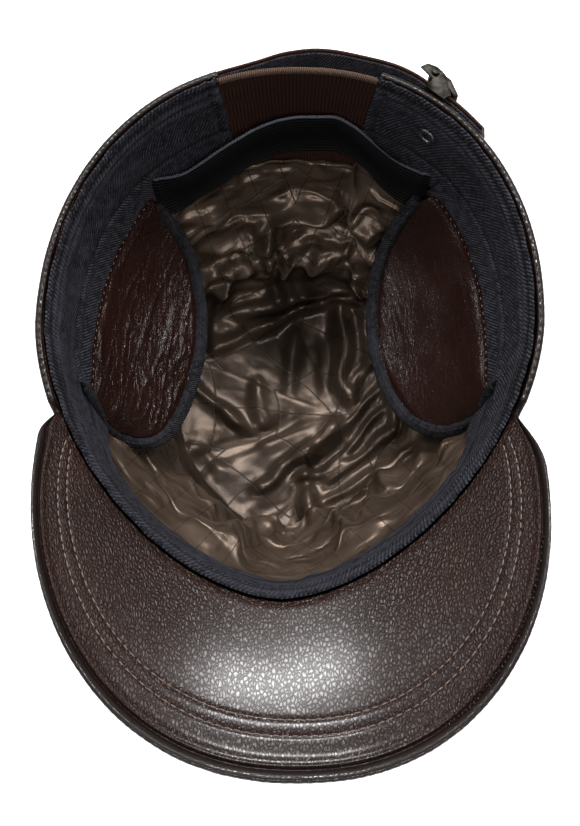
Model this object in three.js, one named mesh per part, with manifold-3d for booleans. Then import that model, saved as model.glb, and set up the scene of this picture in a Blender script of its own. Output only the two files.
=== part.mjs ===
// Leather jockey cap with ear flaps folded inside, lying upside down on its crown.
// Millimetres, +Z up. X runs across the cap, +Y to its rear, and the peak points to -Y.
// The crown's outer face is a function of azimuth and of depth below the rim,
// and the soft pieces inside are layers at named offsets inward from it.

import * as THREE from "three";
import Module from "manifold-3d";

const wasm = await Module();
wasm.setup();

// Clearances
const layerGap = 0.3;
const seamGap = 0.3;
const facetGap = 0.15;

// Crown
const rimHalfWidth = 89.4;
const frontReach = 101.8;
const rearReach = 99.6;
const frontFullness = 1.73;
const rearFullness = 2.15;
const crownDepth = 112;
const rimRise = 6.5;
const riseStart = 0.3;
const riseCurve = 1.7;
const rimSkew = 0.03;
const leatherThickness = 1.3;
const hemRoll = 1.4;
const hemHeight = 7;
const panelPuff = 1.5;
const panelTipRadius = 1.2;
const turnStep = 7.5;

// Gap at the rear, with the knit and the strap
const gapHalfWidth = 31;
const gapFootHalfWidth = 23;
const gapDepth = 50;
const knitThickness = 1.3;
const knitDrop = 1;
const knitLap = 3;

// Sweatband
const bandHeight = 34;
const bandProud = 0.6;
const bandThickness = 1.6;
const bandPuff = 0.7;

// Lining
const liningThickness = 1;
const liningFold = 6;
const liningRows = 9;
const starAcross = 18;
const starForward = 5;

// Peak
const peakHalfWidth = 88;
const peakReach = 103;
const peakCentre = 60;
const peakFullness = 2.25;
const peakPitch = 17;
const peakBend = 138;
const peakTurn = 68;
const peakRamp = 2;
const peakTuck = 3;
const peakSwing = 2.5;
const peakThickness = 3.8;
const peakCornerThickness = 2.6;
const peakColumns = 34;
const rollWidth = 4.2;
const rollRise = 0.8;
const underThickness = 1.2;

// Ear flaps
const flapRearTurn = 50.5;
const flapFrontTurn = -12;
const hingeTuck = 1;
const flapOuter = 80;
const flapWidth = 47;
const flapRear = 66;
const flapLength = 98;
const flapTop = 28;
const flapDrop = 42;
const flapThickness = 2.6;
const flapBulge = 4;
const bindingWidth = 5;
const bindingThickness = 4;
const hingeStripWidth = 7;
const hingeStripThickness = 1.4;

// Elastic between the flaps
const elasticHalfSpan = 47;
const elasticRear = 85;
const elasticDrop = 30;
const elasticWidth = 20;
const elasticThickness = 1.2;
const elasticLean = 16;

// Adjuster strap
const strapWidth = 20;
const strapBow = 7.2;
const strapLeather = 1.4;
const strapCloth = 1;
const strapTailTurn = 46;

// Clasp
const claspTurn = 61.5;
const claspLength = 15;
const claspRise = 5.6;
const cheekThickness = 1;
const claspPlate = 0.8;
const pinRadius = 0.8;
const pinHeadRadius = 1.4;
const pinAhead = 1.8;
const pinRise = 3.2;
const leverBarrel = 2.2;
const leverLength = 9;
const leverThickness = 1.2;

// Ring eyelet
const eyeletRadius = 3.5;
const eyeletHeight = 1.1;
const eyeletTurn = 57;
const eyeletDepth = 14.5;

// Shares of the crown from the rim (way 0) to its centre (way 1)
const CROWN_PROFILE = [
  { way: 0.0, depth: 0.0, side: 1.0, front: 1.0, rear: 1.0 },
  { way: 0.07, depth: 0.11, side: 0.98, front: 0.967, rear: 0.978 },
  { way: 0.2, depth: 0.3, side: 0.922, front: 0.893, rear: 0.92 },
  { way: 0.34, depth: 0.52, side: 0.852, front: 0.812, rear: 0.832 },
  { way: 0.47, depth: 0.73, side: 0.772, front: 0.735, rear: 0.732 },
  { way: 0.57, depth: 0.88, side: 0.69, front: 0.668, rear: 0.64 },
  { way: 0.64, depth: 0.965, side: 0.605, front: 0.605, rear: 0.548 },
  { way: 0.69, depth: 1.0, side: 0.52, front: 0.545, rear: 0.45 },
  { way: 1.0, depth: 1.0, side: 0.0, front: 0.0, rear: 0.0 },
];
const FLAT_ROW = CROWN_PROFILE[CROWN_PROFILE.length - 2];

// Rings of a crown panel below the hem, as ways along the profile
const PANEL_WAYS = [0.1, 0.2, 0.31, 0.42, 0.52, 0.6, 0.65, FLAT_ROW.way, 0.84];

// Free edge of an ear flap from its rear tip to its front end
const FLAP_EDGE = [
  { turn: 0.0, along: 0.03, reach: 0.56, drop: 0.12 },
  { turn: 0.06, along: 0.075, reach: 0.63, drop: 0.375 },
  { turn: 0.13, along: 0.13, reach: 0.745, drop: 0.625 },
  { turn: 0.27, along: 0.245, reach: 0.93, drop: 0.875 },
  { turn: 0.48, along: 0.46, reach: 1.0, drop: 1.0 },
  { turn: 0.7, along: 0.72, reach: 0.94, drop: 1.0 },
  { turn: 0.82, along: 0.855, reach: 0.8, drop: 0.9 },
  { turn: 0.9, along: 0.96, reach: 0.64, drop: 0.75 },
  { turn: 0.955, along: 0.975, reach: 0.43, drop: 0.5 },
  { turn: 1.0, along: 0.9, reach: 0.28, drop: 0.22 },
];

// Upper edge of the elastic from the left flap to the right flap
const ELASTIC_EDGE = [
  { share: 0.0, across: -1.0, rear: 0.735, drop: 0.93 },
  { share: 0.12, across: -0.8, rear: 0.785, drop: 0.87 },
  { share: 0.28, across: -0.54, rear: 0.88, drop: 0.67 },
  { share: 0.44, across: -0.25, rear: 0.965, drop: 0.47 },
  { share: 0.58, across: 0.04, rear: 1.0, drop: 0.4 },
  { share: 0.7, across: 0.28, rear: 0.995, drop: 0.4 },
  { share: 0.79, across: 0.45, rear: 0.95, drop: 0.5 },
  { share: 0.88, across: 0.66, rear: 0.865, drop: 0.7 },
  { share: 0.96, across: 0.9, rear: 0.775, drop: 0.9 },
  { share: 1.0, across: 1.0, rear: 0.745, drop: 0.93 },
];

// Outer face of the strap from the gap's left edge to its tail, as shares of the bow
const STRAP_BOW = [
  { share: 0.0, bow: 0.19 },
  { share: 0.07, bow: 0.22 },
  { share: 0.14, bow: 0.35 },
  { share: 0.26, bow: 0.79 },
  { share: 0.36, bow: 1.0 },
  { share: 0.49, bow: 0.93 },
  { share: 0.62, bow: 0.985 },
  { share: 0.69, bow: 0.93 },
  { share: 0.76, bow: 0.78 },
  { share: 0.86, bow: 0.71 },
  { share: 1.0, bow: 0.65 },
];

// Main folds of the lining in plan, as shares of the rim's half width and front reach
const LINING_FOLDS = [
  { fromX: -0.34, fromY: 0.12, toX: 0.38, toY: 0.38, breadth: 0.06, height: -0.45 },
  { fromX: -0.3, fromY: 0.24, toX: 0.3, toY: 0.48, breadth: 0.08, height: 0.5 },
  { fromX: -0.5, fromY: -0.1, toX: -0.1, toY: 0.0, breadth: 0.09, height: 0.45 },
  { fromX: 0.3, fromY: -0.05, toX: 0.32, toY: 0.34, breadth: 0.07, height: 0.5 },
  { fromX: -0.55, fromY: -0.5, toX: 0.1, toY: -0.25, breadth: 0.08, height: 0.5 },
  { fromX: 0.0, fromY: -0.72, toX: 0.1, toY: -0.3, breadth: 0.07, height: 0.55 },
  { fromX: 0.25, fromY: -0.7, toX: 0.5, toY: -0.35, breadth: 0.08, height: 0.4 },
  { fromX: -0.3, fromY: 0.62, toX: 0.25, toY: 0.66, breadth: 0.05, height: 0.5 },
  { fromX: -0.1, fromY: 0.5, toX: -0.05, toY: 0.2, breadth: 0.05, height: 0.35 },
];

// Colours and surfaces
const crownLeather = { color: 0x4a332b, roughness: 0.4, metalness: 0 };
const underLeather = { color: 0x503a31, roughness: 0.45, metalness: 0 };
const flapLeather = { color: 0x3a1e17, roughness: 0.3, metalness: 0 };
const blackTwill = { color: 0x2a2a33, roughness: 0.9, metalness: 0 };
const blackElastic = { color: 0x15161a, roughness: 0.85, metalness: 0 };
const satin = { color: 0x6b5a49, roughness: 0.35, metalness: 0 };
const brownKnit = { color: 0x3e2018, roughness: 0.95, metalness: 0 };
const claspMetal = { color: 0x5f5850, roughness: 0.4, metalness: 0.9 };
const eyeletMetal = { color: 0x202024, roughness: 0.3, metalness: 0.8 };

const UP = new THREE.Vector3(0, 0, 1);
const cap = new THREE.Group();

// Smooth value of one column of a table at a place along its key column
function secant(table, key, column, row) {
  const from = table[row];
  const to = table[row + 1];
  return (to[column] - from[column]) / (to[key] - from[key]);
}

function slopeAt(table, key, column, row) {
  const last = table.length - 1;
  if (row === 0) return secant(table, key, column, 0);
  if (row === last) return secant(table, key, column, last - 1);
  const before = secant(table, key, column, row - 1);
  const after = secant(table, key, column, row);
  return before * after > 0 ? (2 * before * after) / (before + after) : 0;
}

function lookUp(table, key, column, at) {
  let row = 0;
  while (row < table.length - 2 && at > table[row + 1][key]) row += 1;
  const span = table[row + 1][key] - table[row][key];
  const t = (at - table[row][key]) / span;
  const from = table[row][column];
  const to = table[row + 1][column];
  const leaving = slopeAt(table, key, column, row) * span;
  const arriving = slopeAt(table, key, column, row + 1) * span;
  const square = t * t;
  const cube = square * t;
  return (
    (2 * cube - 3 * square + 1) * from +
    (cube - 2 * square + t) * leaving +
    (3 * square - 2 * cube) * to +
    (cube - square) * arriving
  );
}

// The root of a rising function between two bounds
function solve(rising, low, high) {
  const halvings = 30;
  let from = low;
  let to = high;
  for (let step = 0; step < halvings; step += 1) {
    const middle = (from + to) / 2;
    if (rising(middle) < 0) from = middle;
    else to = middle;
  }
  return (from + to) / 2;
}

// Collects points and faces, and joins points that coincide
class Skin {
  constructor() {
    this.points = [];
    this.faces = [];
    this.known = new Map();
  }

  add(point) {
    const key = [point.x, point.y, point.z].map((value) => String(Math.round(value * 1000))).join(" ");
    if (!this.known.has(key)) {
      this.known.set(key, this.points.length);
      this.points.push(point.clone());
    }
    return this.known.get(key);
  }

  triangle(a, b, c) {
    if (a !== b && b !== c && c !== a) this.faces.push(a, b, c);
  }

  quad(a, b, c, d) {
    this.triangle(a, b, c);
    this.triangle(a, c, d);
  }

  volume() {
    let sum = 0;
    for (let face = 0; face < this.faces.length; face += 3) {
      const [a, b, c] = this.faces.slice(face, face + 3).map((index) => this.points[index]);
      sum += a.dot(new THREE.Vector3().crossVectors(b, c));
    }
    return sum;
  }

  geometry() {
    if (this.volume() < 0) this.faces.reverse();
    const geometry = new THREE.BufferGeometry();
    const places = this.points.flatMap((point) => [point.x, point.y, point.z]);
    geometry.setAttribute("position", new THREE.Float32BufferAttribute(places, 3));
    geometry.setIndex(this.faces);
    return geometry;
  }
}

// A wall between two faces, each a function of column and row shares from 0 to 1
function slab(columns, rows, outer, inner) {
  const skin = new Skin();
  const grid = (face) =>
    Array.from({ length: columns + 1 }, (_, column) =>
      Array.from({ length: rows + 1 }, (_, row) => skin.add(face(column / columns, row / rows))),
    );
  const outside = grid(outer);
  const inside = grid(inner);
  for (let column = 0; column < columns; column += 1) {
    for (let row = 0; row < rows; row += 1) {
      const next = column + 1;
      const below = row + 1;
      skin.quad(outside[column][row], outside[next][row], outside[next][below], outside[column][below]);
      skin.quad(inside[column][row], inside[column][below], inside[next][below], inside[next][row]);
    }
  }
  for (let column = 0; column < columns; column += 1) {
    const next = column + 1;
    skin.quad(outside[next][0], outside[column][0], inside[column][0], inside[next][0]);
    if (outside[column][rows] !== outside[next][rows]) {
      skin.quad(outside[column][rows], outside[next][rows], inside[next][rows], inside[column][rows]);
    }
  }
  if (outside[0][0] !== outside[columns][0]) {
    for (let row = 0; row < rows; row += 1) {
      const below = row + 1;
      skin.quad(outside[0][row], outside[0][below], inside[0][below], inside[0][row]);
      skin.quad(outside[columns][below], outside[columns][row], inside[columns][row], inside[columns][below]);
    }
  }
  return skin.geometry();
}

// A bar through like sections, each a closed ring of points, with both ends closed
function loft(sections, outline) {
  const skin = new Skin();
  const rings = sections.map((section) => section.map((point) => skin.add(point)));
  for (let ring = 0; ring < rings.length - 1; ring += 1) {
    rings[ring].forEach((index, place) => {
      const next = (place + 1) % outline.length;
      skin.quad(index, rings[ring][next], rings[ring + 1][next], rings[ring + 1][place]);
    });
  }
  const clockwise = THREE.ShapeUtils.isClockWise(outline);
  const first = rings[0];
  const last = rings[rings.length - 1];
  THREE.ShapeUtils.triangulateShape(outline, []).forEach((corners) => {
    const [a, b, c] = clockwise ? [...corners].reverse() : corners;
    skin.triangle(first[a], first[c], first[b]);
    skin.triangle(last[a], last[b], last[c]);
  });
  return skin.geometry();
}

// Booleans
function toManifold(geometry) {
  const mesh = new wasm.Mesh({
    numProp: 3,
    vertProperties: new Float32Array(geometry.attributes.position.array),
    triVerts: new Uint32Array(geometry.index.array),
  });
  mesh.merge();
  return new wasm.Manifold(mesh);
}

function fromManifold(manifold) {
  const mesh = manifold.getMesh();
  const geometry = new THREE.BufferGeometry();
  geometry.setAttribute("position", new THREE.Float32BufferAttribute(mesh.vertProperties, 3));
  geometry.setIndex(Array.from(mesh.triVerts));
  return geometry;
}

function piece(name, geometry, surface, parent = cap) {
  const mesh = new THREE.Mesh(geometry, new THREE.MeshStandardMaterial(surface));
  mesh.name = name;
  parent.add(mesh);
  return mesh;
}

const radians = THREE.MathUtils.degToRad;
const mix = THREE.MathUtils.lerp;

// Everything on the cap drifts sideways a little toward the rear
function place(x, y, z) {
  return new THREE.Vector3(x + rimSkew * y, y, z);
}

function rimRadius(azimuth) {
  const isRear = Math.sin(azimuth) > 0;
  const fullness = isRear ? rearFullness : frontFullness;
  const across = Math.abs(Math.cos(azimuth)) / rimHalfWidth;
  const along = Math.abs(Math.sin(azimuth)) / (isRear ? rearReach : frontReach);
  return (across ** fullness + along ** fullness) ** (-1 / fullness);
}

// Height of the rim, which dips where the peak joins it
function rimHeight(y) {
  const share = THREE.MathUtils.clamp((-y / frontReach - riseStart) / (1 - riseStart), 0, 1);
  return rimRise * (1 - share ** riseCurve);
}

// The crown's outer face
function face(azimuth, way, puff) {
  const radius = rimRadius(azimuth);
  const rimY = radius * Math.sin(azimuth);
  const seamRipple = Math.abs(Math.sin(3 * (azimuth - Math.PI / 2)));
  const swell = puff * seamRipple * Math.sin(Math.PI * Math.min(way / FLAT_ROW.way, 1));
  const depth = Math.min(lookUp(CROWN_PROFILE, "way", "depth", way), 1);
  const acrossShare = lookUp(CROWN_PROFILE, "way", "side", way);
  const alongShare = lookUp(CROWN_PROFILE, "way", rimY > 0 ? "rear" : "front", way);
  const x = (radius * acrossShare + swell) * Math.cos(azimuth);
  const y = (radius * alongShare + swell) * Math.sin(azimuth);
  return place(x, y, mix(rimHeight(rimY), -crownDepth, depth));
}

// A point at an offset inward from the crown's outer face
function wall(azimuth, way, offset, puff = 0) {
  const point = face(azimuth, way, puff);
  const azimuthStep = radians(1);
  const wayStep = 0.004;
  const isFlat = way > FLAT_ROW.way + wayStep;
  const normal = UP.clone();
  if (!isFlat) {
    const around = face(azimuth + azimuthStep, way, puff).sub(face(azimuth - azimuthStep, way, puff));
    const down = face(azimuth, way + wayStep, puff).sub(face(azimuth, Math.max(way - wayStep, 0), puff));
    normal.crossVectors(around, down).normalize();
    if (normal.x * point.x + normal.y * point.y > 0) normal.negate();
  }
  return point.addScaledVector(normal, offset);
}

// The way along the profile at a depth below the rim
function wayAtDepth(azimuth, depth) {
  const height = crownDepth + rimHeight(rimRadius(azimuth) * Math.sin(azimuth));
  const share = depth / height;
  return solve((way) => lookUp(CROWN_PROFILE, "way", "depth", way) - share, 0, FLAT_ROW.way);
}

// A point by depth below the rim, or straight above the rim where the depth is negative
function layer(azimuth, depth, offset) {
  if (depth > 0) return wall(azimuth, wayAtDepth(azimuth, depth), offset);
  return wall(azimuth, 0, offset).addScaledVector(UP, -depth);
}

// The azimuth in the rear half at a distance across the cap and a depth
function rearAzimuth(across, depth) {
  const way = wayAtDepth(Math.PI / 2, Math.max(depth, 0));
  const side = lookUp(CROWN_PROFILE, "way", "side", way);
  return solve((azimuth) => across - rimRadius(azimuth) * Math.cos(azimuth) * side, 0, Math.PI);
}

function gapEdge(depth) {
  return mix(gapHalfWidth, gapFootHalfWidth, depth / gapDepth);
}

// Thickness of the peak where it joins the crown, thinner at its corners
function peakDepth(turn) {
  return mix(peakThickness, peakCornerThickness, Math.abs(turn) ** 8);
}

// How far the crown's upper edge lies below the rim, to pass under the peak
function underPeak(azimuth) {
  const turn = Math.abs(THREE.MathUtils.euclideanModulo(azimuth + 1.5 * Math.PI, 2 * Math.PI) - Math.PI);
  const limit = radians(peakTurn);
  const ramp = radians(peakRamp);
  if (turn > limit + ramp) return 0;
  const share = THREE.MathUtils.clamp((limit + ramp - turn) / ramp, 0, 1);
  return (peakDepth(Math.min(turn / limit, 1)) + layerGap) * share;
}

// Crown panels
function panelAzimuths(startTurn) {
  const sweep = 60;
  const corners = [-peakTurn - peakRamp, -peakTurn, peakTurn, peakTurn + peakRamp].map((turn) => turn - 90);
  const columns = Math.round(sweep / turnStep);
  const regular = Array.from({ length: columns + 1 }, (_, column) => startTurn + (sweep * column) / columns);
  const inside = corners
    .flatMap((turn) => [turn, turn + 360])
    .filter((turn) => turn > startTurn + 1 && turn < startTurn + sweep - 1);
  return [...regular, ...inside].sort((a, b) => a - b).map(radians);
}

function crownPanel(startTurn) {
  const azimuths = panelAzimuths(startTurn);
  const rounding = 1.2;
  const tipWay = 1 - ((1 - FLAT_ROW.way) * panelTipRadius) / (rimHalfWidth * FLAT_ROW.side);
  const hemRows = [
    { depth: 0, outer: -hemRoll * 0.4, inner: leatherThickness * 0.7 },
    { depth: rounding, outer: -hemRoll, inner: leatherThickness },
    { depth: hemHeight - rounding, outer: -hemRoll * 0.9, inner: leatherThickness },
    { depth: hemHeight, outer: 0, inner: leatherThickness },
  ];
  const lowerRows = [...PANEL_WAYS, tipWay].map((way) => ({ way, outer: 0, inner: leatherThickness }));
  const rows = [...hemRows, ...lowerRows];
  const wayOf = (row, azimuth) => row.way ?? wayAtDepth(azimuth, underPeak(azimuth) + row.depth);
  const facePoint = (side) => (columnShare, rowShare) => {
    const column = Math.round(columnShare * (azimuths.length - 1));
    const row = rows[Math.round(rowShare * (rows.length - 1))];
    const azimuth = azimuths[column];
    const way = wayOf(row, azimuth);
    const reach = Math.hypot(face(azimuth, way, 0).x, face(azimuth, way, 0).y);
    const inset = Math.asin(Math.min(seamGap / 2 / reach, 1));
    const last = azimuths.length - 1;
    const shift = column === 0 ? inset : column === last ? -inset : 0;
    return wall(azimuth + shift, way, row[side], panelPuff);
  };
  return slab(azimuths.length - 1, rows.length - 1, facePoint("outer"), facePoint("inner"));
}

// The rear gap cut out of the two rear panels
function gapCutter() {
  const overshoot = 10;
  const facePoint = (offset) => (columnShare, rowShare) => {
    const depth = mix(-overshoot, gapDepth, rowShare);
    const across = mix(gapEdge(depth), -gapEdge(depth), columnShare);
    return layer(rearAzimuth(across, depth), depth, offset);
  };
  return slab(8, 6, facePoint(-overshoot), facePoint(overshoot));
}

const PANELS = [
  { name: "crown_panel_side_right", startTurn: -30 },
  { name: "crown_panel_rear_right", startTurn: 30 },
  { name: "crown_panel_rear_left", startTurn: 90 },
  { name: "crown_panel_side_left", startTurn: 150 },
  { name: "crown_panel_front_left", startTurn: 210 },
  { name: "crown_panel_front_right", startTurn: 270 },
];
const cutter = toManifold(gapCutter());
PANELS.forEach(({ name, startTurn }) => {
  const isRear = name.includes("rear");
  const whole = crownPanel(startTurn);
  const geometry = isRear ? fromManifold(toManifold(whole).subtract(cutter)) : whole;
  piece(name, geometry, crownLeather);
});

// Azimuths at whole steps between two turns
function wholeTurns(fromTurn, toTurn) {
  const count = Math.round(Math.abs(toTurn - fromTurn) / turnStep);
  return Array.from({ length: count + 1 }, (_, step) => radians(mix(fromTurn, toTurn, step / count)));
}

// Sweatband, from the gap's right edge round the front to its left edge
const bandOuter = leatherThickness + layerGap + facetGap;
const bandInner = bandOuter + bandThickness;

function sweatband() {
  const rows = [
    { depth: -bandProud, outer: 0.3, inner: -0.3 },
    { depth: 1, outer: 0, inner: 0 },
    { depth: bandHeight * 0.25, outer: 0, inner: bandPuff },
    { depth: bandHeight * 0.62, outer: 0, inner: bandPuff },
    { depth: bandHeight - 1, outer: 0, inner: 0 },
    { depth: bandHeight, outer: 0.3, inner: -0.3 },
  ];
  const gapTurn = THREE.MathUtils.radToDeg(rearAzimuth(gapHalfWidth, 0)) - turnStep / 4;
  const firstTurn = Math.floor(gapTurn / turnStep) * turnStep;
  const regular = wholeTurns(firstTurn, -180 - firstTurn);
  const facePoint = (side, offset) => (columnShare, rowShare) => {
    const row = rows[Math.round(rowShare * (rows.length - 1))];
    const edge = gapEdge(row.depth);
    const start = rearAzimuth(edge, row.depth);
    const end = rearAzimuth(-edge, row.depth) - 2 * Math.PI;
    const azimuths = [start, ...regular, end];
    return layer(azimuths[Math.round(columnShare * (azimuths.length - 1))], row.depth, offset + row[side]);
  };
  return slab(regular.length + 1, rows.length - 1, facePoint("outer", bandOuter), facePoint("inner", bandInner));
}
piece("sweatband", sweatband(), blackTwill);

// Knit panel in the gap, between the ends of the sweatband
function knitPanel() {
  const facePoint = (offset) => (columnShare, rowShare) => {
    const depth = mix(knitDrop, gapDepth + knitLap, rowShare);
    const edge = gapEdge(Math.min(depth, gapDepth)) - layerGap;
    const across = mix(edge, -edge, columnShare);
    return layer(rearAzimuth(across, depth), depth, offset);
  };
  return slab(12, 6, facePoint(bandOuter), facePoint(bandOuter + knitThickness));
}
piece("knit_panel", knitPanel(), brownKnit);

// Lining, a loose wall with folds
const knitCorner = rearAzimuth(-gapEdge(gapDepth) - layerGap * 2, gapDepth) - Math.PI / 2;
const bandCorner = rearAzimuth(-gapEdge(bandHeight) - layerGap * 4, bandHeight) - Math.PI / 2;

function liningTop(azimuth) {
  const away = Math.abs(azimuth - Math.PI / 2);
  const share = THREE.MathUtils.clamp((away - knitCorner) / (bandCorner - knitCorner), 0, 1);
  return mix(gapDepth + knitLap + layerGap, bandHeight + layerGap, share);
}

function liningAzimuths() {
  const corners = [knitCorner, bandCorner].flatMap((away) => [Math.PI / 2 - away, Math.PI / 2 + away]);
  const regular = wholeTurns(0, 360 - turnStep);
  return [...[...regular, ...corners].sort((a, b) => a - b), 2 * Math.PI];
}

function foldHeight(x, y, way) {
  const settle = THREE.MathUtils.smoothstep(way, 0.22, 0.55);
  const centre = 1 - THREE.MathUtils.smoothstep(way, 0.85, 1);
  const acrossShare = x / rimHalfWidth;
  const alongShare = y / frontReach;
  const ridges = LINING_FOLDS.reduce((sum, fold) => {
    const runX = fold.toX - fold.fromX;
    const runY = fold.toY - fold.fromY;
    const run = runX * runX + runY * runY;
    const dot = (acrossShare - fold.fromX) * runX + (alongShare - fold.fromY) * runY;
    const along = THREE.MathUtils.clamp(dot / run, 0, 1);
    const awayX = acrossShare - fold.fromX - along * runX;
    const awayY = alongShare - fold.fromY - along * runY;
    const away = Math.hypot(awayX, awayY) / fold.breadth;
    return sum + fold.height * Math.exp(-away * away);
  }, 0.5);
  return liningFold * settle * mix(0.5, THREE.MathUtils.clamp(ridges, 0, 1), centre);
}

function lining() {
  const azimuths = liningAzimuths();
  const facePoint = (offset) => (columnShare, rowShare) => {
    const azimuth = azimuths[Math.round(columnShare * (azimuths.length - 1))];
    const top = wayAtDepth(azimuth, liningTop(azimuth));
    const way = mix(top, 1, rowShare);
    const flat = face(azimuth, way, 0);
    const fold = foldHeight(flat.x, flat.y, way);
    const point = wall(azimuth, way, offset + fold);
    const drift = THREE.MathUtils.smoothstep(way, FLAT_ROW.way, 1);
    return point.add(new THREE.Vector3(starAcross * drift, -starForward * drift, 0));
  };
  return slab(azimuths.length - 1, liningRows, facePoint(bandOuter), facePoint(bandOuter + liningThickness));
}
piece("lining", lining(), satin);

// Peak
function peakSurface(x, y) {
  const pitched = Math.tan(radians(peakPitch)) * (-y - frontReach + bandOuter);
  return pitched + peakBend - Math.sqrt(peakBend * peakBend - x * x);
}

function power(value, exponent) {
  return Math.sign(value) * Math.abs(value) ** exponent;
}

// Inner and outer ends of the peak's section at a turn from -1 (left corner) to 1 (right)
function peakSpan(turn) {
  const azimuth = radians(-90 + peakTurn * turn);
  const inner = wall(azimuth, 0, leatherThickness);
  const cornerShare = (peakCentre + wall(radians(peakTurn - 90), 0, leatherThickness).y) / peakReach;
  const sweep = Math.PI / 2 + Math.asin(cornerShare ** (peakFullness / 2));
  const angle = sweep * turn;
  const x = peakHalfWidth * power(Math.sin(angle), 2 / peakFullness);
  const forward = power(Math.cos(angle), 2 / peakFullness);
  const y = -peakCentre - peakReach * forward;
  const tuck = peakTuck * Math.abs(turn) ** 10;
  const swing = peakSwing * Math.max(forward, 0);
  const outer = new THREE.Vector3(x + swing, y, peakSurface(x, y) - tuck);
  return { inner, outer };
}

function peakPoint(turn, fromEdge, rise) {
  const { inner, outer } = peakSpan(turn);
  const width = Math.hypot(inner.x - outer.x, inner.y - outer.y);
  return outer.clone().lerp(inner, fromEdge / width).addScaledVector(UP, rise);
}

function peakWidth(turn) {
  const { inner, outer } = peakSpan(turn);
  return Math.hypot(inner.x - outer.x, inner.y - outer.y);
}

// Sizes at the outer edge shrink where the peak narrows to its corners
function peakScale(turn) {
  return Math.min(1, peakWidth(turn) / (3 * rollWidth));
}

const recessFloor = underThickness + layerGap;

function peakBodySection(turn) {
  const width = peakWidth(turn);
  const scale = peakScale(turn);
  const depth = peakDepth(turn);
  const roll = rollWidth * scale;
  const middle = (roll + width) / 2;
  return [
    [width, -depth],
    [middle, -depth],
    [roll, -depth],
    [roll * 0.4, -depth * 0.93],
    [roll * 0.1, -depth * 0.7],
    [0, -depth * 0.4],
    [roll * 0.07, rollRise * 0.2],
    [roll * 0.3, rollRise],
    [roll * 0.65, rollRise],
    [roll * 0.92, 0],
    [roll, -recessFloor],
    [middle, -recessFloor],
    [width, -recessFloor],
  ];
}

function peakUnderSection(turn) {
  const width = peakWidth(turn);
  const roll = rollWidth * peakScale(turn);
  const edge = roll + layerGap;
  const middle = (roll + width) / 2;
  const rounding = 0.4 * peakScale(turn);
  return [
    [edge, -underThickness],
    [middle, -underThickness],
    [width, -underThickness],
    [width, 0],
    [middle, 0],
    [edge + rounding, 0],
    [edge, -underThickness * 0.3],
  ];
}

function peakSolid(sectionOf) {
  const turns = Array.from({ length: peakColumns + 1 }, (_, column) => mix(-1, 1, column / peakColumns));
  const sections = turns.map((turn) => sectionOf(turn).map(([fromEdge, rise]) => peakPoint(turn, fromEdge, rise)));
  const outline = sectionOf(0).map(([fromEdge, rise]) => new THREE.Vector2(fromEdge, rise));
  return loft(sections, outline);
}
piece("peak_body", peakSolid(peakBodySection), crownLeather);
piece("peak_under", peakSolid(peakUnderSection), underLeather);

// Ear flaps: a surface ruled from the hinge line to the free edge, bulged toward the opening
function hingePoint(side, turn) {
  const azimuth = radians(mix(flapRearTurn, flapFrontTurn, turn));
  const offset = bandInner + layerGap + facetGap + hingeStripThickness / 2;
  return layer(side > 0 ? azimuth : Math.PI - azimuth, bandHeight - hingeTuck, offset);
}

function freePoint(side, turn) {
  const reach = lookUp(FLAP_EDGE, "turn", "reach", turn);
  const along = lookUp(FLAP_EDGE, "turn", "along", turn);
  const drop = lookUp(FLAP_EDGE, "turn", "drop", turn);
  return place(side * (flapOuter - reach * flapWidth), flapRear - along * flapLength, -flapTop - drop * flapDrop);
}

function flapLengthAt(side, turn) {
  return hingePoint(side, turn).distanceTo(freePoint(side, turn));
}

function flapMiddle(side, turn, fromHinge) {
  const share = fromHinge / flapLengthAt(side, turn);
  const bulge = flapBulge * 4 * share * (1 - share) * Math.sin(Math.PI * Math.min(turn, 1));
  return hingePoint(side, turn).lerp(freePoint(side, turn), share).addScaledVector(UP, bulge);
}

function flapPoint(side, turn, fromHinge, lift) {
  const alongStep = 0.01;
  const step = 0.3;
  const before = flapMiddle(side, Math.max(turn - alongStep, 0), fromHinge);
  const after = flapMiddle(side, Math.min(turn + alongStep, 1), fromHinge);
  const outward = flapMiddle(side, turn, fromHinge + step).sub(flapMiddle(side, turn, fromHinge - step));
  const normal = after.sub(before).cross(outward).normalize();
  if (normal.z < 0) normal.negate();
  return flapMiddle(side, turn, fromHinge).addScaledVector(normal, lift);
}

const FLAP_STATIONS = 22;
const FLAP_START = 0.05;

function flapTurn(station) {
  return mix(FLAP_START, 1, station / FLAP_STATIONS);
}

function flapSheet(side, firstStation, lastStation, rows, startOf, endOf, thickness) {
  const facePoint = (lift) => (columnShare, rowShare) => {
    const turn = flapTurn(mix(firstStation, lastStation, columnShare));
    return flapPoint(side, turn, mix(startOf(turn), endOf(turn), rowShare), lift);
  };
  return slab(lastStation - firstStation, rows, facePoint(thickness / 2), facePoint(-thickness / 2));
}

function flapBinding(side) {
  const corners = 8;
  const ring = Array.from({ length: corners }, (_, corner) => {
    const angle = (2 * Math.PI * (corner + 0.5)) / corners;
    return new THREE.Vector2((Math.cos(angle) * bindingWidth) / 2, (Math.sin(angle) * bindingThickness) / 2);
  });
  const sections = Array.from({ length: FLAP_STATIONS + 1 }, (_, station) => {
    const turn = flapTurn(station);
    const centre = flapLengthAt(side, turn) - bindingWidth / 2;
    return ring.map((corner) => flapPoint(side, turn, centre + corner.x, corner.y));
  });
  return loft(sections, ring);
}

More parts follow.
